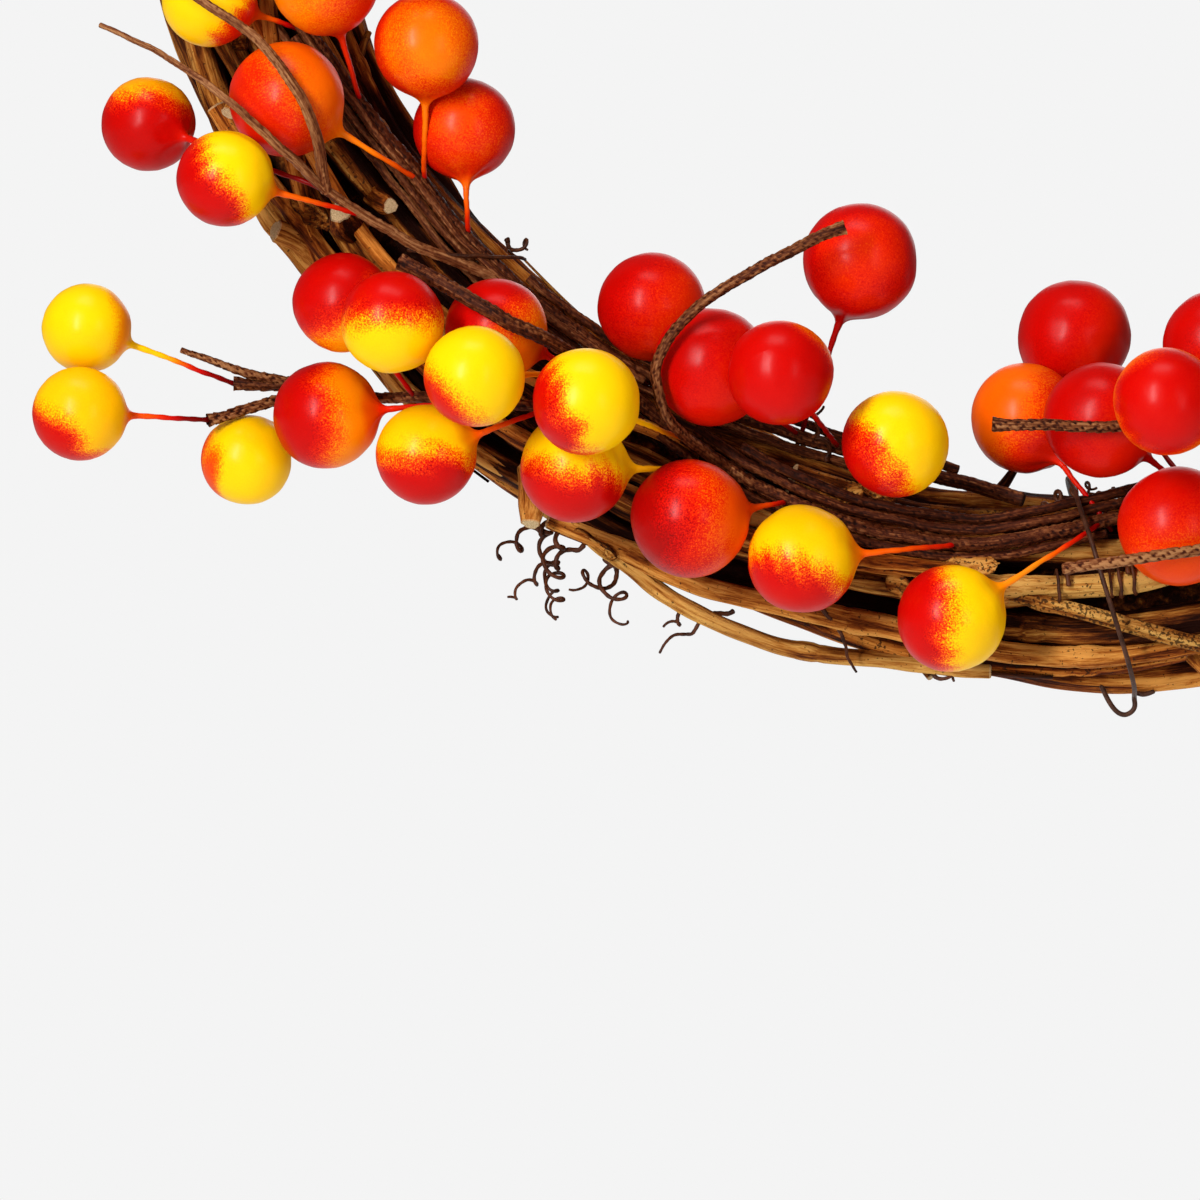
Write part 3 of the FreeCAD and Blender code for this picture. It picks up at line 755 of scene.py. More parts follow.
# a ball's waves: size as a share of its radius, and how tight they are
BALL_WAVES = [(0.0055, 2.6)] * 5 + [(0.0012, 13)] * 6
NECK_END_SIZE, WIRE_END_SIZE = 1.75 * MM, 1.25 * MM   # what belongs to the end of a CAD neck, and of a wire
WIRE_IN_NECK = 2.0 * MM
WIRE_RADIUS, WIRE_FLARE = 0.60 * MM, 0.36 * MM   # the flare is what it is thicker by at the neck
WIRE_TUCK = 4.0 * MM             # how far a wire runs on under the paper of its stem
DARK_HUE = 1.32                  # of its end there


def islands(obj):
    """The separate solids of a CAD node, as arrays of points."""
    mesh = obj.data
    co = np.array([v.co for v in mesh.vertices], float)
    keys = {}
    index = [keys.setdefault(tuple(c), len(keys)) for c in np.round(co, 6)]
    parent = list(range(len(keys)))

    def root(i):
        while parent[i] != i:
            parent[i] = parent[parent[i]]
            i = parent[i]
        return i
    for poly in mesh.polygons:
        v = [root(index[i]) for i in poly.vertices]
        for w in v[1:]:
            parent[root(w)] = root(v[0])
    groups = {}
    for i in range(len(co)):
        groups.setdefault(root(index[i]), []).append(i)
    return [co[g] for g in groups.values()]


def farthest(points, origin):
    return points[np.argmax(np.linalg.norm(points - origin, axis=1))]


def far_end(points, origin, size):
    """The middle of the end that is farthest from origin."""
    return points[np.linalg.norm(points - farthest(points, origin), axis=1) < size].mean(0)


def read_berry(points):
    """(centre, neck direction, radius, distance to the neck's end) of a berry's solid."""
    tip = far_end(points, points.mean(0), NECK_END_SIZE)
    foot = farthest(points, tip)
    axis = unit(tip - foot)
    d = points - foot
    radius = np.linalg.norm(d - np.outer(d @ axis, axis), axis=1).max()
    centre = foot + axis * radius
    return centre, axis, radius, float((tip - centre) @ axis)


def read_wire(points, tip, axis):
    """The arc of a berry's wire: from inside the neck, leaving along axis, to its end in the stem."""
    start = tip - axis * WIRE_IN_NECK
    end = far_end(points, start, WIRE_END_SIZE)
    length = np.linalg.norm(end - start)
    chord = (end - start) / length
    across = axis - chord * axis.dot(chord)
    size = np.linalg.norm(across)
    if size < 1e-3:
        return np.linspace(start, end, 24)
    half = math.acos(max(-1, min(1, axis.dot(chord))))
    across /= size
    r = length / 2 / math.sin(half)
    middle = (start + end) / 2 - across * r * math.cos(half)
    a = np.linspace(-half, half, max(12, int(length / 0.0007)))[:, None]
    return middle + r * (np.cos(a) * across + np.sin(a) * chord)


def berry_hue(normals, finish, k, rng, exact):
    """Hue and speckle of a berry: speckle is strongest halfway between its two hues."""
    if finish.side == "edge":
        direction = -FRONT
    elif finish.side == "rim_up":
        direction = unit(np.array((0.45, 0.62, 0.62)))
    else:
        a = math.radians(finish.side)
        direction = np.array((math.cos(a), 0.0, math.sin(a)))
    if not exact:
        direction = unit(turned(direction + CENTRE, k) - CENTRE + rng.normal(0, 0.28, 3))
    waver = 0
    for size, tightness in ((0.10, 4), (0.06, 9)):
        waver = waver + size * np.sin(normals @ rng.normal(0, tightness, 3) + phase(rng))
    u = np.clip((normals @ direction + waver - finish.start) / finish.width + 0.5, 0, 1)
    u = u * u * (3 - 2 * u)
    change = finish.second - finish.first
    return finish.first + change * u, 0.50 * abs(change) * (4 * u * (1 - u)) ** 0.42 + 0.02


def berry_profile(radius, tip):
    """Radii and distances along the axis: a ball, then a neck drawn out to the tip."""
    latitude = np.radians(np.linspace(-90, BALL_LATITUDE, BALL_ROWS))
    ball = radius * np.stack([np.cos(latitude), np.sin(latitude)])
    t = np.linspace(0, 1, NECK_ROWS + 1)[1:]
    start, end = ball[:, -1], np.array((NECK_END_RADIUS, tip))
    reach = math.hypot(start[0], tip - start[1])
    leave = np.array((-math.sin(latitude[-1]), math.cos(latitude[-1]))) * reach * 1.15
    arrive = np.array((0.0, 1.0)) * reach * 1.1
    neck = (np.outer(start, 2 * t ** 3 - 3 * t ** 2 + 1) + np.outer(leave, t ** 3 - 2 * t ** 2 + t)
            + np.outer(end, -2 * t ** 3 + 3 * t ** 2) + np.outer(arrive, t ** 3 - t ** 2))
    neck[0] = np.maximum(neck[0], NECK_END_RADIUS)
    ball[0, 0] = 1e-6
    return np.concatenate([ball, neck], 1)


def berry_swell(directions, neck, rng):
    """How far the surface stands out, as a share of the radius: waves, a few dents and a creased neck."""
    swell = np.zeros(directions.shape[:2])
    for size, tightness in BALL_WAVES:
        swell += size * np.sin(directions @ rng.normal(0, tightness, 3) + phase(rng))
    for _ in range(rng.integers(1, 4)):
        dent = unit(rng.normal(0, 1, 3))
        long = unit(np.cross(dent, rng.normal(0, 1, 3)))
        d = directions - dent
        u, v = d @ long, np.linalg.norm(d - (d @ long)[..., None] * long, axis=2)
        depth = rng.uniform(0.008, 0.022)
        swell -= depth * np.exp(-(u / rng.uniform(0.25, 0.5)) ** 2 - (v / rng.uniform(0.09, 0.18)) ** 2)
    creases = 0.02 * np.sin(rng.integers(4, 7) * full_turn(BERRY_AROUND) + phase(rng))
    swell += creases[None] * np.sin(neck * math.pi) ** 2
    return np.minimum(swell, 0.012) * (1 - neck ** 3)


def add_berry(sculpt, centre, axis, radius, tip, finish, k, rng, exact):
    """A foam ball dipped in lacquer, not quite round, and drawn out where its wire goes in."""
    across, forward = berry_profile(radius, tip)
    side = unit(np.cross(axis, (0.3, 0.2, 0.9)))
    up = np.cross(axis, side)
    theta = full_turn(BERRY_AROUND)
    ring = np.cos(theta)[:, None] * side + np.sin(theta)[:, None] * up
    rows = centre + across[:, None, None] * ring[None] + forward[:, None, None] * axis
    directions = rows - centre
    directions /= np.linalg.norm(directions, axis=2)[..., None]
    neck = np.clip((forward - radius * 0.55) / (tip - radius * 0.55), 0, 1)[:, None]
    swell = berry_swell(directions, neck, rng)
    rows = rows + directions * (swell * radius)[..., None]
    hue, speckle = berry_hue(directions.reshape(-1, 3), finish, k, rng, exact)
    blend = np.clip((neck - 0.35) / 0.5, 0, 1)
    hue = hue.reshape(swell.shape) * (1 - blend) + finish.neck_hue * blend
    sculpt.grid(rows, rows, hue=hue, speckle=speckle.reshape(swell.shape) * (1 - blend))
    sculpt.cap(rows[-1], centre + axis * tip, True, hue=finish.neck_hue)


def add_berry_wire(sculpt, line, finish, rng, sink):
    """The berry's wire, dipped with it: thicker and bright at the neck, thin and dark where it goes under
    the stem's paper, where sink bends it back."""
    line = wander(line, rng, "berry_wire")
    seen = len(line)
    on = np.linspace(0, 1, 9)[1:, None] * WIRE_TUCK
    end = unit(line[-1] - line[-3])
    line = np.concatenate([line, line[-1] + on * end - on ** 2 / WIRE_TUCK * sink * FRONT])
    t = np.arange(len(line)) / (seen - 1)
    r = WIRE_RADIUS + WIRE_FLARE * np.exp(-t / 0.14)
    r += 0.05 * MM * np.sin(rng.uniform(25, 60) * t + phase(rng))
    fade = np.clip((t - 0.25) / 0.6, 0, 1)
    hue = finish.neck_hue + (finish.stem_hue - finish.neck_hue) * fade * fade * (3 - 2 * fade)
    under = np.clip((t - 0.86) / 0.2, 0, 1)
    sweep(sculpt, line, r, 10, hue=hue + (DARK_HUE - hue) * under, cut=(0, 0))


def dress_berries(spray, finishes, k, body, seed):
    """Berries and wires in place of a spray's pair of CAD nodes."""
    rng = np.random.default_rng(seed)
    found = [read_berry(p) for p in islands(frame["nodes"][f"{spray}_berries"])]
    wires = islands(frame["nodes"][f"{spray}_wires"])
    start = (k * SPRAY_PITCH - 45) % 360
    found.sort(key=lambda berry: (ring_angle(berry[0]) - start) % 360)
    order = list(range(len(finishes)))
    if k:
        rng.shuffle(order)
    sink = 0.0 if finishes is TIP_FINISHES else 1.0
    balls, strands = Sculpt(), Sculpt()
    for i, (centre, axis, radius, tip) in enumerate(found):
        finish = Finish(*FINISHES[finishes[order[i]]])
        add_berry(balls, centre, axis, radius, tip, finish, k, rng, k == 0)
        neck_end = centre + axis * tip
        mine = min(wires, key=lambda w: np.linalg.norm(w - neck_end, axis=1).min())
        add_berry_wire(strands, read_wire(mine, neck_end, axis), finish, rng, sink)
    balls.build(f"dipped_{spray}_berries", lacquer, body, "berry_skin", f"{spray}_berries")
    strands.build(f"dipped_{spray}_wires", wire_lacquer, body, "berry_wire", f"{spray}_wires")


def make_spray(k):
    rng = np.random.default_rng(500 + k)
    names = ("inner_spray", "outer_spray", "spray_tip", "free_twig")
    inner, outer, tip, free = (f"{name}_{k + 1}" for name in names)
    paper_piece("inner_spray", INNER_STEMS, k, rng, "wreath", f"{inner}_stem")
    paper_piece("outer_spray", OUTER_STEMS, k, rng, "wreath", f"{outer}_stem")
    bending_twig("carrier", TIP_CARRIER, TIP_HINGE, TIP_AFTER, k, rng, tip, f"{outer}_tip_twig")
    bending_twig("free_twig", FREE_TWIG, FREE_HINGE, FREE_AFTER, k, rng, free, f"{outer}_free_twig")
    paper_piece("tip", TIP_STEMS, k, rng, tip)
    dress_berries(inner, INNER_FINISHES, k, "wreath", 40 + k)
    dress_berries(outer, OUTER_FINISHES, k, "wreath", 60 + k)
    dress_berries(f"{outer}_tip", TIP_FINISHES, k, tip, 80 + k)


# -------- tendrils, ties and hanger
# the curls of each tendril node: where each starts, its first direction as (round, out, forward), its length
# and coil radius in mm, and its turns
CURLS = {
    "tangled_tendrils": [
        ((34.0, 22, 6), (0.3, 1.0, 0.1), 15, 2.8, 2.6), ((33.2, 22, 9), (-0.3, 0.8, 0.2), 20, 3.3, 3.2),
        ((31.5, 22, 8), (0.5, 0.9, 0.1), 22, 2.2, 3.4), ((30.0, 22, 9), (-0.7, 0.6, 0.1), 16, 3.6, 2.2),
        ((29.0, 22, 6), (0.4, 0.7, 0.2), 12, 3.8, 1.7), ((35.0, 21, 4), (-0.9, 0.6, 0.1), 26, 2.6, 3.8)],
    "curled_tendrils": [
        ((21.8, 20, 8), (0.75, 0.6, 0.1), 19, 1.6, 1.7), ((23.8, 22, 8), (0.6, 0.9, 0.0), 9, 2.0, 1.6),
        ((17.2, 11, 21), (-0.85, 0.75, -0.35), 20, 1.1, 0.8), ((9.5, 20, 8), (-0.9, 0.45, 0.1), 7, 1.6, 1.2)],
    "looped_tendrils": [
        ((3.4, -21, 9), (-1.0, -0.25, 0.2), 13, 2.4, 3.4), ((0.5, -21, 10), (-0.8, -0.3, 0.1), 10, 2.0, 2.6),
        ((21.2, -20, 9), (0.1, -1.0, 0.3), 13, 2.0, 1.8), ((19.5, -21, 12), (0.5, -0.7, 0.2), 9, 1.8, 1.5),
        ((48.2, -22, 9), (-0.8, -0.4, 0.3), 6, 2.2, 1.4)],
}
# a tendril that ties itself round the inner stems
CLASP = [(52.0, -3, 28.4), (50.4, -8, 27.8), (49.0, -13, 26.0), (47.6, -18, 22.8), (46.4, -22, 17.5),
         (46.2, -22.5, 13), (47.0, -20.5, 12), (47.6, -20.6, 16)]
# small turns of tendril round the pale vine across the front: middle, turns
WRAPS = [((1.6, -2.0, 25.2), 1.4), ((-2.4, -3.4, 25.2), 2.2), ((-3.2, -3.8, 25.0), 1.2)]
WRAP_RADIUS = 3.7 * MM
WRAP_ADVANCE = 0.35 * MM         # along the vine for each radian
TENDRIL_RADIUS = 0.62 * MM
TENDRIL_STEP = 0.5 * MM


def wrap_line(middle, turns, k, rng):
    a = np.linspace(0, 2 * math.pi * turns, int(40 * turns))[:, None] + phase(rng)
    around = np.cos(a) * outward(middle[0]) + np.sin(a) * FRONT
    p = ring_point(*middle) + WRAP_RADIUS * (1 + 0.08 * np.sin(3 * a)) * around
    return evenly(turned(p + along(middle[0]) * (a - a[0]) * WRAP_ADVANCE, k), TENDRIL_STEP)


def curl_line(start, direction, length, coil, turns, k, rng):
    """A tendril that winds in open loops about its own direction and tightens towards its end."""
    ahead = direction_at(start[0], direction)
    side = unit(np.cross(ahead, FRONT))
    t = np.linspace(0, 1, 60 + int(60 * turns))
    grow = np.clip(t * 3, 0, 1) * (1 - 0.5 * t) * coil * MM
    winding = phase(rng) + rng.choice((-1, 1)) * turns * 2 * math.pi * t ** 1.2
    bend = side * rng.uniform(-0.25, 0.25)
    p = ring_point(*start) + np.outer(length * MM * t, ahead) + np.outer(length * MM * t ** 2, bend)
    other = 0.8 * ahead + 0.5 * FRONT
    p = p + np.outer(grow * np.cos(winding), side) + np.outer(grow * np.sin(winding), other)
    return evenly(turned(p, k), TENDRIL_STEP)


def make_tendrils():
    for node, curls in CURLS.items():
        sculpt = Sculpt()
        rng = np.random.default_rng(len(node) * 7)
        for k in range(SPRAY_SETS):
            lines = [curl_line(*curl, k, rng) for curl in curls]
            if node == "looped_tendrils":
                lines.append(ring_route(CLASP, TENDRIL_STEP, k))
                lines += [wrap_line(*wrap, k, rng) for wrap in WRAPS]
            for line in lines:
                if near_hanger(line).max() > 0.4:
                    continue
                line = wander(line, rng, "tendril")
                t = np.linspace(0, 1, len(line))
                r = TENDRIL_RADIUS * (1.0 - 0.5 * t) * (1 + 0.08 * np.sin(rng.uniform(60, 120) * t + 1.3))
                sweep(sculpt, line, r, 9, rim=0.6, cut=(0, 0))
        sculpt.build(f"dry_{node}", tendril_skin, "wreath", "tendril", node)


TIE_RADIUS = 28.8                # mm
TIE_TIGHTER = 5.0                # mm less, at its tightest
TIE_HEIGHT = 4.2                 # of its middle, mm in front of the bundle's
TIE_WIRE_RADIUS = 0.6 * MM
TIE_STEP = 0.4 * MM
TIE_GAP = 0.1                    # radians either side of its foot
TIES = ((-1.0, -16.0, (0, 1, 3)), (75.5, 0.0, (0, 1, 2, 3)))   # angle, slant and the spray sets it is at
# the tie's ends, from its foot: mm outwards, mm along the ring
TIE_LOOP = ((1.0, 0.3), (4.2, 0.8), (5.0, 4.2), (1.2, 6.4), (-3.4, 6.8))
TIE_TAIL = ((0.8, -0.6), (1.8, -2.4), (1.4, -4.5))


def twisted(sculpt, line, strand, spread, pitch, closed=False, around=8):
    """Two wires twisted together along a line."""
    s = arc_lengths(line)
    turns = s[-1] / pitch
    if closed:
        turns = round(turns)
    _, a, b = frames(line)
    winding = 2 * math.pi * turns * s / s[-1]
    for offset in (0, math.pi):
        p = line + spread * (np.cos(winding + offset)[:, None] * a + np.sin(winding + offset)[:, None] * b)
        sweep(sculpt, p, strand, around, rim=0.6, cut=(0, 0))


def whole_circle(centre, a, b, radius, step):
    t = np.linspace(0, 2 * math.pi, max(12, int(2 * math.pi * radius / step)))[:, None]
    return centre + radius * (np.cos(t) * a + np.sin(t) * b)


def make_ties():
    sculpt = Sculpt()
    rng = np.random.default_rng(9)
    for angle, slant, sets in TIES:
        centre = ring_point(angle, 0, TIE_HEIGHT)
        normal = turn_about(along(angle), -FRONT, math.radians(slant))
        radial = unit(np.cross(normal, -FRONT))
        if radial.dot(outward(angle)) < 0:
            radial = -radial
        a = np.linspace(TIE_GAP, 2 * math.pi - TIE_GAP, 300)[:, None]
        # drawn tight on the vines at the outer side, and over the stems at the front and the inner side
        reach = TIE_RADIUS - TIE_TIGHTER * (0.5 + 0.5 * np.cos(a + 0.5)) ** 2
        ring = centre + reach * MM * (np.cos(a) * radial + np.sin(a) * FRONT)
        foot = centre + radial * (TIE_RADIUS - TIE_TIGHTER) * MM
        lines = [ring]
        for start, end in ((ring[0], TIE_LOOP), (ring[-1], TIE_TAIL)):
            points = [foot + (radial * out + normal * on) * MM for out, on in end]
            lines.append(smooth_route([start, *points], TIE_STEP))
        for k in sets:
            for line in lines:
                line = wander(turned(line, k), rng, "tie")
                sweep(sculpt, line, TIE_WIRE_RADIUS, 10, rim=0.5, cut=(0, 0))
    sculpt.build("twisted_binding_wires", dark_wire, "wreath", "binding_wire", "binding_wires")


BAND_RADIUS = 23.6 * MM
EYE_INNER_RADIUS = 7.0 * MM
EYE_RING_RADIUS = 7.8 * MM
NECK_FOOT_ANGLE = 50.0
HANGER_STRAND, HANGER_SPREAD = 0.40 * MM, 0.38 * MM
NECK_STRAND, NECK_SPREAD = 0.74 * MM, 0.70 * MM
BAND_PITCH, EYE_PITCH, NECK_PITCH = 4.2 * MM, 3.8 * MM, 5.0 * MM
COIL_RADIUS, COIL_PITCH = 1.75 * MM, 0.95 * MM
BAND_STEP, EYE_STEP = 0.6 * MM, 0.4 * MM


def make_hanger():
    sculpt = Sculpt()
    bundle = np.array(swing["pos_m"], float)
    up, right = np.array((0, 0, 1.0)), np.array((1.0, 0, 0))
    lean = math.radians(NECK_FOOT_ANGLE)
    foot_direction = up * math.cos(lean) - FRONT * math.sin(lean)
    foot = bundle + foot_direction * BAND_RADIUS
    band = whole_circle(bundle, foot_direction, np.cross(right, foot_direction), BAND_RADIUS, BAND_STEP)
    twisted(sculpt, band, HANGER_STRAND, HANGER_SPREAD, BAND_PITCH, closed=True)
    eye = np.array((0, 0, -EYE_INNER_RADIUS))
    eye_ring = whole_circle(eye, -up, right, EYE_RING_RADIUS, EYE_STEP)
    twisted(sculpt, eye_ring, HANGER_STRAND, HANGER_SPREAD, EYE_PITCH, closed=True)
    top = eye - up * EYE_RING_RADIUS
    neck = evenly(np.array([foot, top]), EYE_STEP)
    twisted(sculpt, neck, NECK_STRAND, NECK_SPREAD, NECK_PITCH, around=12)
    # the wire's ends, wound round the neck's foot and below the eye
    towards = unit(top - foot)
    side = unit(np.cross(towards, right))
    for middle, turns in ((foot + towards * 2.6 * MM, 3.0), (top - towards * 2.2 * MM, 2.5)):
        t = np.linspace(0, 1, 130)[:, None]
        a = 2 * math.pi * turns * t
        coil = COIL_RADIUS * (np.cos(a) * right + np.sin(a) * side)
        line = middle + towards * (t - 0.5) * turns * COIL_PITCH + coil
        sweep(sculpt, line, HANGER_STRAND, 8, rim=0.5, cut=(0, 0))
    sculpt.build("twisted_hanger", dark_wire, "hanger", "binding_wire", "hanger")


# -------- thin vines laid over the bundle
# each as its route, radius in mm, tone, how orange it is and how black-spotted
LOOSE_VINES = [
    # bowed out below the berries at the lower left
    ([(36, 19, 8), (30, 20.5, 12), (25, 24, 12), (20, 24.5, 10), (14, 22, 8), (6, 19, 10)], 2.1, 0.76, 0.1, 0.0),
    ([(-20, 8, 21), (-8, 14, 19), (4, 16, 17), (16, 14, 19), (26, 18, 14), (34, 21, 9)], 2.5, 0.66, 0.5, 0.1),
    ([(8, -4, 24), (18, 2, 24.5), (30, 8, 22.5), (42, 12, 20.5), (56, 16, 17), (66, 19, 13)], 2.3, 0.60, 0.7, 0.0),
    ([(28, -10, 22), (38, -4, 24.5), (50, 4, 23.5), (60, 6, 23.5), (70, 2, 24.5)], 1.9, 0.70, 0.9, 0.0),
    # pale and knotty, then black-spotted, across the front at the lowest point
    ([(11, 1, 20), (6, -0.5, 24.6), (0, -2.5, 25.4), (-7, -5, 24.6), (-15, -10, 21)], 2.9, 0.82, 0.0, 0.2),
    ([(9, -2, 21), (3, 2, 25.8), (-3, 8, 25), (-8, 15, 19), (-14, 20, 10)], 2.4, 0.74, 0.0, 1.0),
    ([(46, 20, 6), (54, 16, 15), (62, 8, 22), (72, -2, 24.5), (82, -10, 21)], 2.7, 0.62, 0.8, 0.1),
    ([(64, 20, 5), (58, 21, 8), (50, 19, 12), (43, 20, 9), (38, 17, 10)], 2.4, 0.70, 0.3, 0.0),
]
# broken side branches: foot, direction as (round, out, forward), length and radius in mm, tone
STUBS = [
    ((56.0, 16, 13), (0.9, 0.35, 0.45), 9, 2.5, 0.60), ((55.6, 5, 21), (0.35, 0.1, 0.9), 8, 3.3, 0.42),
    ((56.0, -4, 20.5), (-0.5, -0.1, 0.85), 7, 2.1, 0.40), ((36.2, 16, 13), (-0.6, 0.7, 0.35), 11, 2.7, 0.70),
    ((6.2, 1, 24), (0.8, 0.5, 0.5), 7, 2.2, 0.74), ((-6.5, 17, 12), (-0.5, 0.85, 0.2), 6, 1.6, 0.6),
    ((66.0, 12, 18), (-0.4, 0.6, 0.7), 7, 2.2, 0.5), ((78.0, -8, 21), (0.6, -0.5, 0.6), 8, 2.0, 0.55),
]
# curled flakes of bark: middle, length along the ring, width and lift in mm, how far it turns across, tone
FLAKES = [
    ((8.6, -3, 24.2), 17, 6.0, 3.4, 20, 0.74), ((11.5, 4, 23.4), 15, 5.0, 2.6, -25, 0.52),
    ((18.0, -12, 21.5), 13, 5.5, 3.0, 40, 0.60), ((15.5, -16, 18.5), 11, 4.0, 2.4, -35, 0.66),
    ((31.0, 19, 12.0), 12, 4.0, 2.2, 15, 0.62), ((57.5, 10, 20.0), 13, 5.0, 2.8, 30, 0.50),
    ((-9.0, 4, 23.6), 14, 4.6, 2.6, -15, 0.66), ((70.0, 8, 21.6), 12, 4.4, 2.6, 20, 0.58),
]
LOOSE_STEP = 1.4 * MM
LOOSE_AROUND, STUB_AROUND = 18, 16
FLAKE_ROWS, FLAKE_COLUMNS = 18, 9
FLAKE_THICKNESS = 0.45 * MM


def loose_vine(sculpt, route, radius, tone, hue, speckle, k, rng):
    p = ring_route(route, LOOSE_STEP, k)
    if near_hanger(p).max() > 0:
        return
    p = wander(p, rng, "loose_vine")
    knots = [(where, phase(rng)) for where in np.arange(0.022, arc_lengths(p)[-1] - 0.01, 0.055)]
    r = bark_radii(p, radius * MM * rng.uniform(0.92, 1.08), LOOSE_AROUND, rng, knots)
    sweep(sculpt, p, r, LOOSE_AROUND, tone=tone + rng.uniform(-0.05, 0.05), seed=rng.uniform(20, 40),
          rim=0.25, groove_shade=1.2, hue=hue, speckle=speckle)


def stub(sculpt, foot, direction, length, radius, tone, k, rng):
    ahead = direction_at(foot[0], direction)
    bend = unit(np.cross(ahead, rng.normal(0, 1, 3)))
    t = np.linspace(-0.3, 1, 14)
    p = ring_point(*foot) + np.outer(t * length * MM, ahead) + np.outer(t * t * 0.12 * length * MM, bend)
    flare = 1.25 - 0.35 * np.clip(t, 0, 1) + 0.12 * np.sin(5 * t + phase(rng))
    theta = full_turn(STUB_AROUND)
    ridges = 1 + 0.10 * np.sin(3 * theta + phase(rng)) + 0.06 * np.sin(7 * theta)
    r = radius * MM * np.outer(flare, ridges)
    p = turned(p, k)
    if near_hanger(p).max() == 0:
        sweep(sculpt, p, r, STUB_AROUND, tone=tone, seed=rng.uniform(0, 9), rim=0.12, hue=0.4, groove_shade=1.0)


def flake(sculpt, middle, length, width, lift, turn, tone, k, rng):
    """A strip of bark held at one end, rolled across and curling up at the other."""
    u = np.linspace(0, 1, FLAKE_ROWS)[:, None]
    v = np.linspace(-1, 1, FLAKE_COLUMNS)[None, :]
    ragged = 1 + 0.22 * np.sin(9 * u + phase(rng)) + 0.10 * np.sin(23 * u + phase(rng))
    half = width / 2 * ragged * np.sqrt(np.clip(1.02 - (2 * u - 1) ** 4, 0.02, 1))
    x = (u - 0.5) * length + 0.5 * np.sin(4 * v + phase(rng)) * (u > 0.9)
    z = 0.35 * half * v * v + lift * u ** 2.4 + 0.25 * np.sin(11 * u + 3 * v) + 0.15 * np.sin(17 * v + 5 * u)
    base = ring_point(*middle)
    ahead, up = -along(middle[0]), off_bundle(base)
    across = unit(np.cross(up, ahead))
    c, s = math.cos(math.radians(turn)), math.sin(math.radians(turn))
    lead, wide = ahead * c + across * s, across * c - ahead * s
    face = base + MM * (x[..., None] * lead + (half * v)[..., None] * wide + z[..., None] * up)
    top, under = turned(face + FLAKE_THICKNESS * up, k), turned(face, k)
    if near_hanger(top).max() > 0:
        return
    loop = np.concatenate([top, under[:, ::-1]], 1)
    grain = np.concatenate([face, face[:, ::-1] + 0.01], 1)
    shade = tone + 0.12 * np.sin(13 * v + 2 * u) - 0.25 * (np.abs(v) > 0.9)
    # painted shade: the underside is painted darker than the top
    shade = np.concatenate([shade, shade[:, ::-1] - 0.2], 1)
    sculpt.grid(loop, grain, tone=shade, hue=0.2, speckle=0.7)
    for row, outwards in ((0, False), (FLAKE_ROWS - 1, True)):
        sculpt.cap(loop[row], loop[row].mean(0), outwards, tone=tone - 0.2, speckle=0.3)


def make_loose_vines():
    sculpt = Sculpt()
    rng = np.random.default_rng(77)
    for k in range(SPRAY_SETS):
        for add, lines in ((loose_vine, LOOSE_VINES), (stub, STUBS), (flake, FLAKES)):
            for line in lines:
                add(sculpt, *line, k, rng)
    sculpt.build("bark_loose_vines", bark, "wreath", "vine_bark")


for number in range(OUTER_VINES):
    make_vine(number)
core = frame["nodes"]["core_vines"]
# the core vines take the bark that is painted darker, as painted shade deep in the bundle
core.data.materials.clear()
core.data.materials.append(shaded_inner_bark)
make_loose_vines()
for k in range(SPRAY_SETS):
    make_spray(k)
make_tendrils()
make_ties()
make_hanger()


# -------- floor, light and camera
FLOOR_REACH = 5.0
FLOOR_SIDES = 128
FLOOR_DROP = 0.35                # it hangs clear of the floor
LIGHT_SPREAD = 70.0              # degrees
# place from the ring's centre, size and power in watts of each light, all of them aimed at the centre
LIGHTS = {"key": ((-1.0, -1.7, 0.45), (0.24, 1.2), 7.4), "front": ((1.1, -1.9, 0.1), (0.5, 1.2), 1.1),
          "top": ((-0.2, -0.5, 1.5), (1.0, 0.6), 2.2), "rear": ((0.3, 1.6, 0.5), (1.2, 1.0), 1.1)}
BACKDROP, GLOW = 0.905, 0.13     # what the camera sees, and what lights the wreath
VIEW_MIDDLE = (-0.1152, -0.2072)   # right and up from the ring's centre
VIEW_WIDTH = 0.2832
CAMERA_DISTANCE = 3.5
SENSOR_WIDTH = 36


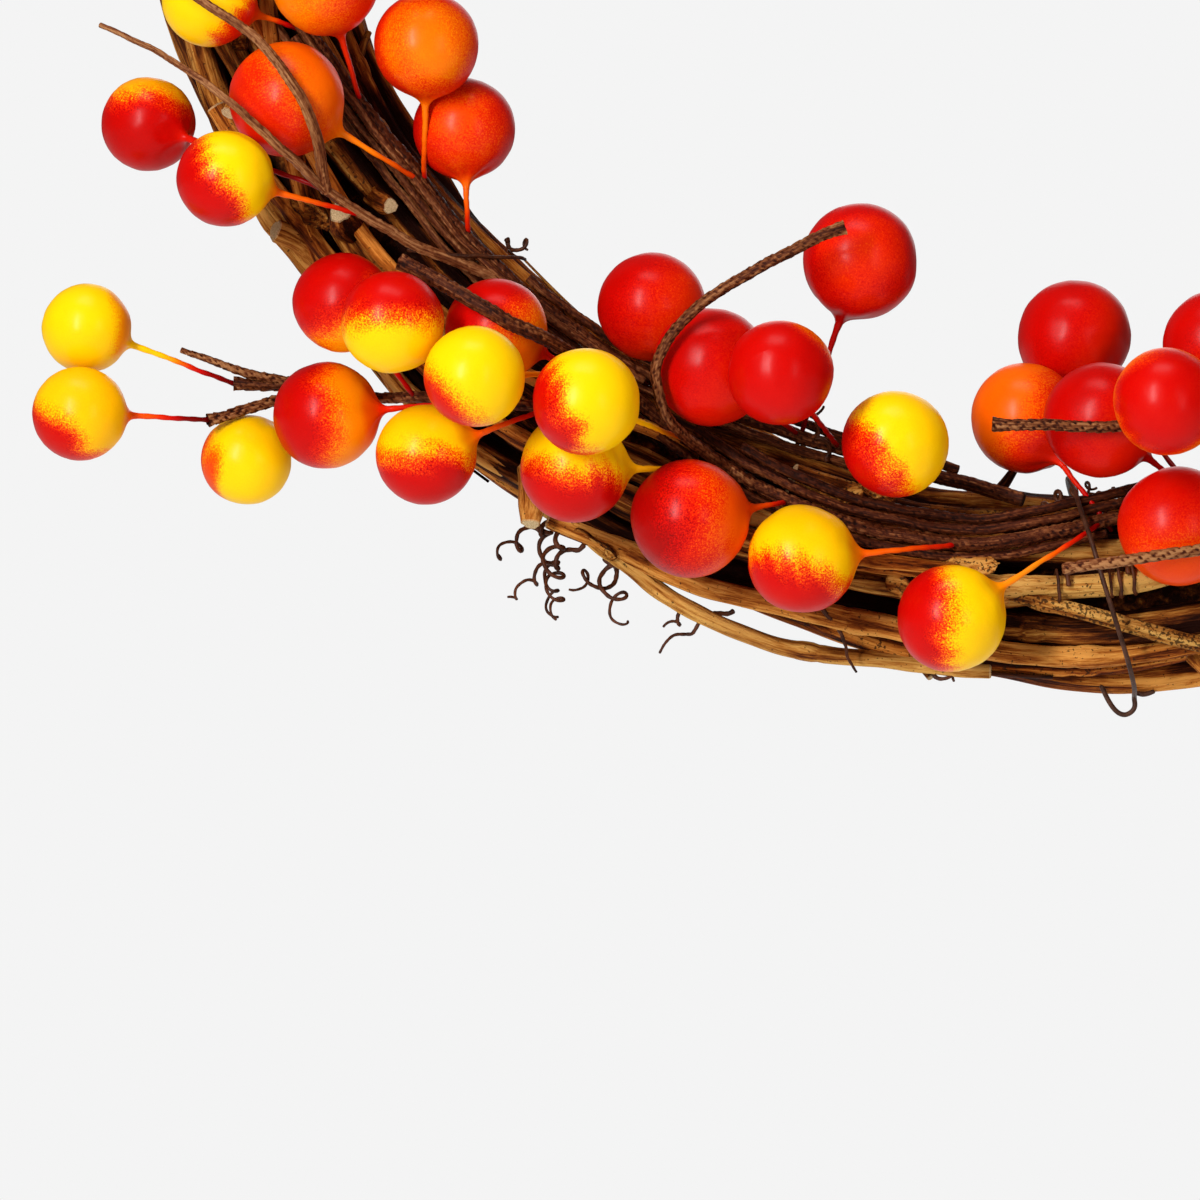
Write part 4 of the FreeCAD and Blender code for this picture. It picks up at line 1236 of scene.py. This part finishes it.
def make_floor():
    mesh = bpy.data.meshes.new("floor")
    z = cad_box[0][2] - FLOOR_DROP
    edge = [(FLOOR_REACH * math.cos(a), FLOOR_REACH * math.sin(a), z) for a in full_turn(FLOOR_SIDES)]
    mesh.from_pydata(edge, [], [tuple(range(FLOOR_SIDES))])
    skin = Skin("floor", {"Roughness": 0.8, "Emission Color": (1, 1, 1, 1), "Emission Strength": 0.47})
    colour = skin.ramp(skin.noise(skin.place(), 3.0), [(0.3, (0.80, 0.80, 0.80)), (0.7, (0.84, 0.84, 0.84))])
    skin.links.new(colour, skin.shader.inputs["Base Color"])
    mesh.materials.append(skin.material)
    place_object("floor", mesh)


def area_light(name, place, size, power):
    data = bpy.data.lights.new(name, "AREA")
    data.shape = "RECTANGLE"
    data.size, data.size_y = size
    data.energy = power
    data.spread = math.radians(LIGHT_SPREAD)
    light = place_object(name, data)
    light.location = CENTRE + place
    light.rotation_euler = Vector(-np.array(place)).to_track_quat("-Z", "Y").to_euler()


def make_world():
    """A pale backdrop for the camera, and a weaker glow for everything else."""
    world = bpy.data.worlds.new("studio")
    world.use_nodes = True
    nodes, links = world.node_tree.nodes, world.node_tree.links
    nodes.clear()
    out, choose = nodes.new("ShaderNodeOutputWorld"), nodes.new("ShaderNodeMixShader")
    path = nodes.new("ShaderNodeLightPath")
    for index, colour, strength in ((1, 1, GLOW), (2, BACKDROP, 1)):
        background = nodes.new("ShaderNodeBackground")
        background.inputs["Color"].default_value = (colour, colour, colour, 1)
        background.inputs["Strength"].default_value = strength
        links.new(background.outputs["Background"], choose.inputs[index])
    links.new(path.outputs["Is Camera Ray"], choose.inputs["Fac"])
    links.new(choose.outputs["Shader"], out.inputs["Surface"])
    bpy.context.scene.world = world


def make_camera():
    data = bpy.data.cameras.new("camera")
    data.sensor_width = SENSOR_WIDTH
    data.lens = SENSOR_WIDTH * CAMERA_DISTANCE / VIEW_WIDTH
    data.clip_end = 50
    camera = place_object("camera", data)
    camera.location = CENTRE + (VIEW_MIDDLE[0], -CAMERA_DISTANCE, VIEW_MIDDLE[1])
    camera.rotation_euler = (math.pi / 2, 0, 0)
    bpy.context.scene.camera = camera


make_floor()
make_world()
for name, light in LIGHTS.items():
    area_light(name, *light)
make_camera()
bpy.context.scene.view_settings.view_transform = "Standard"
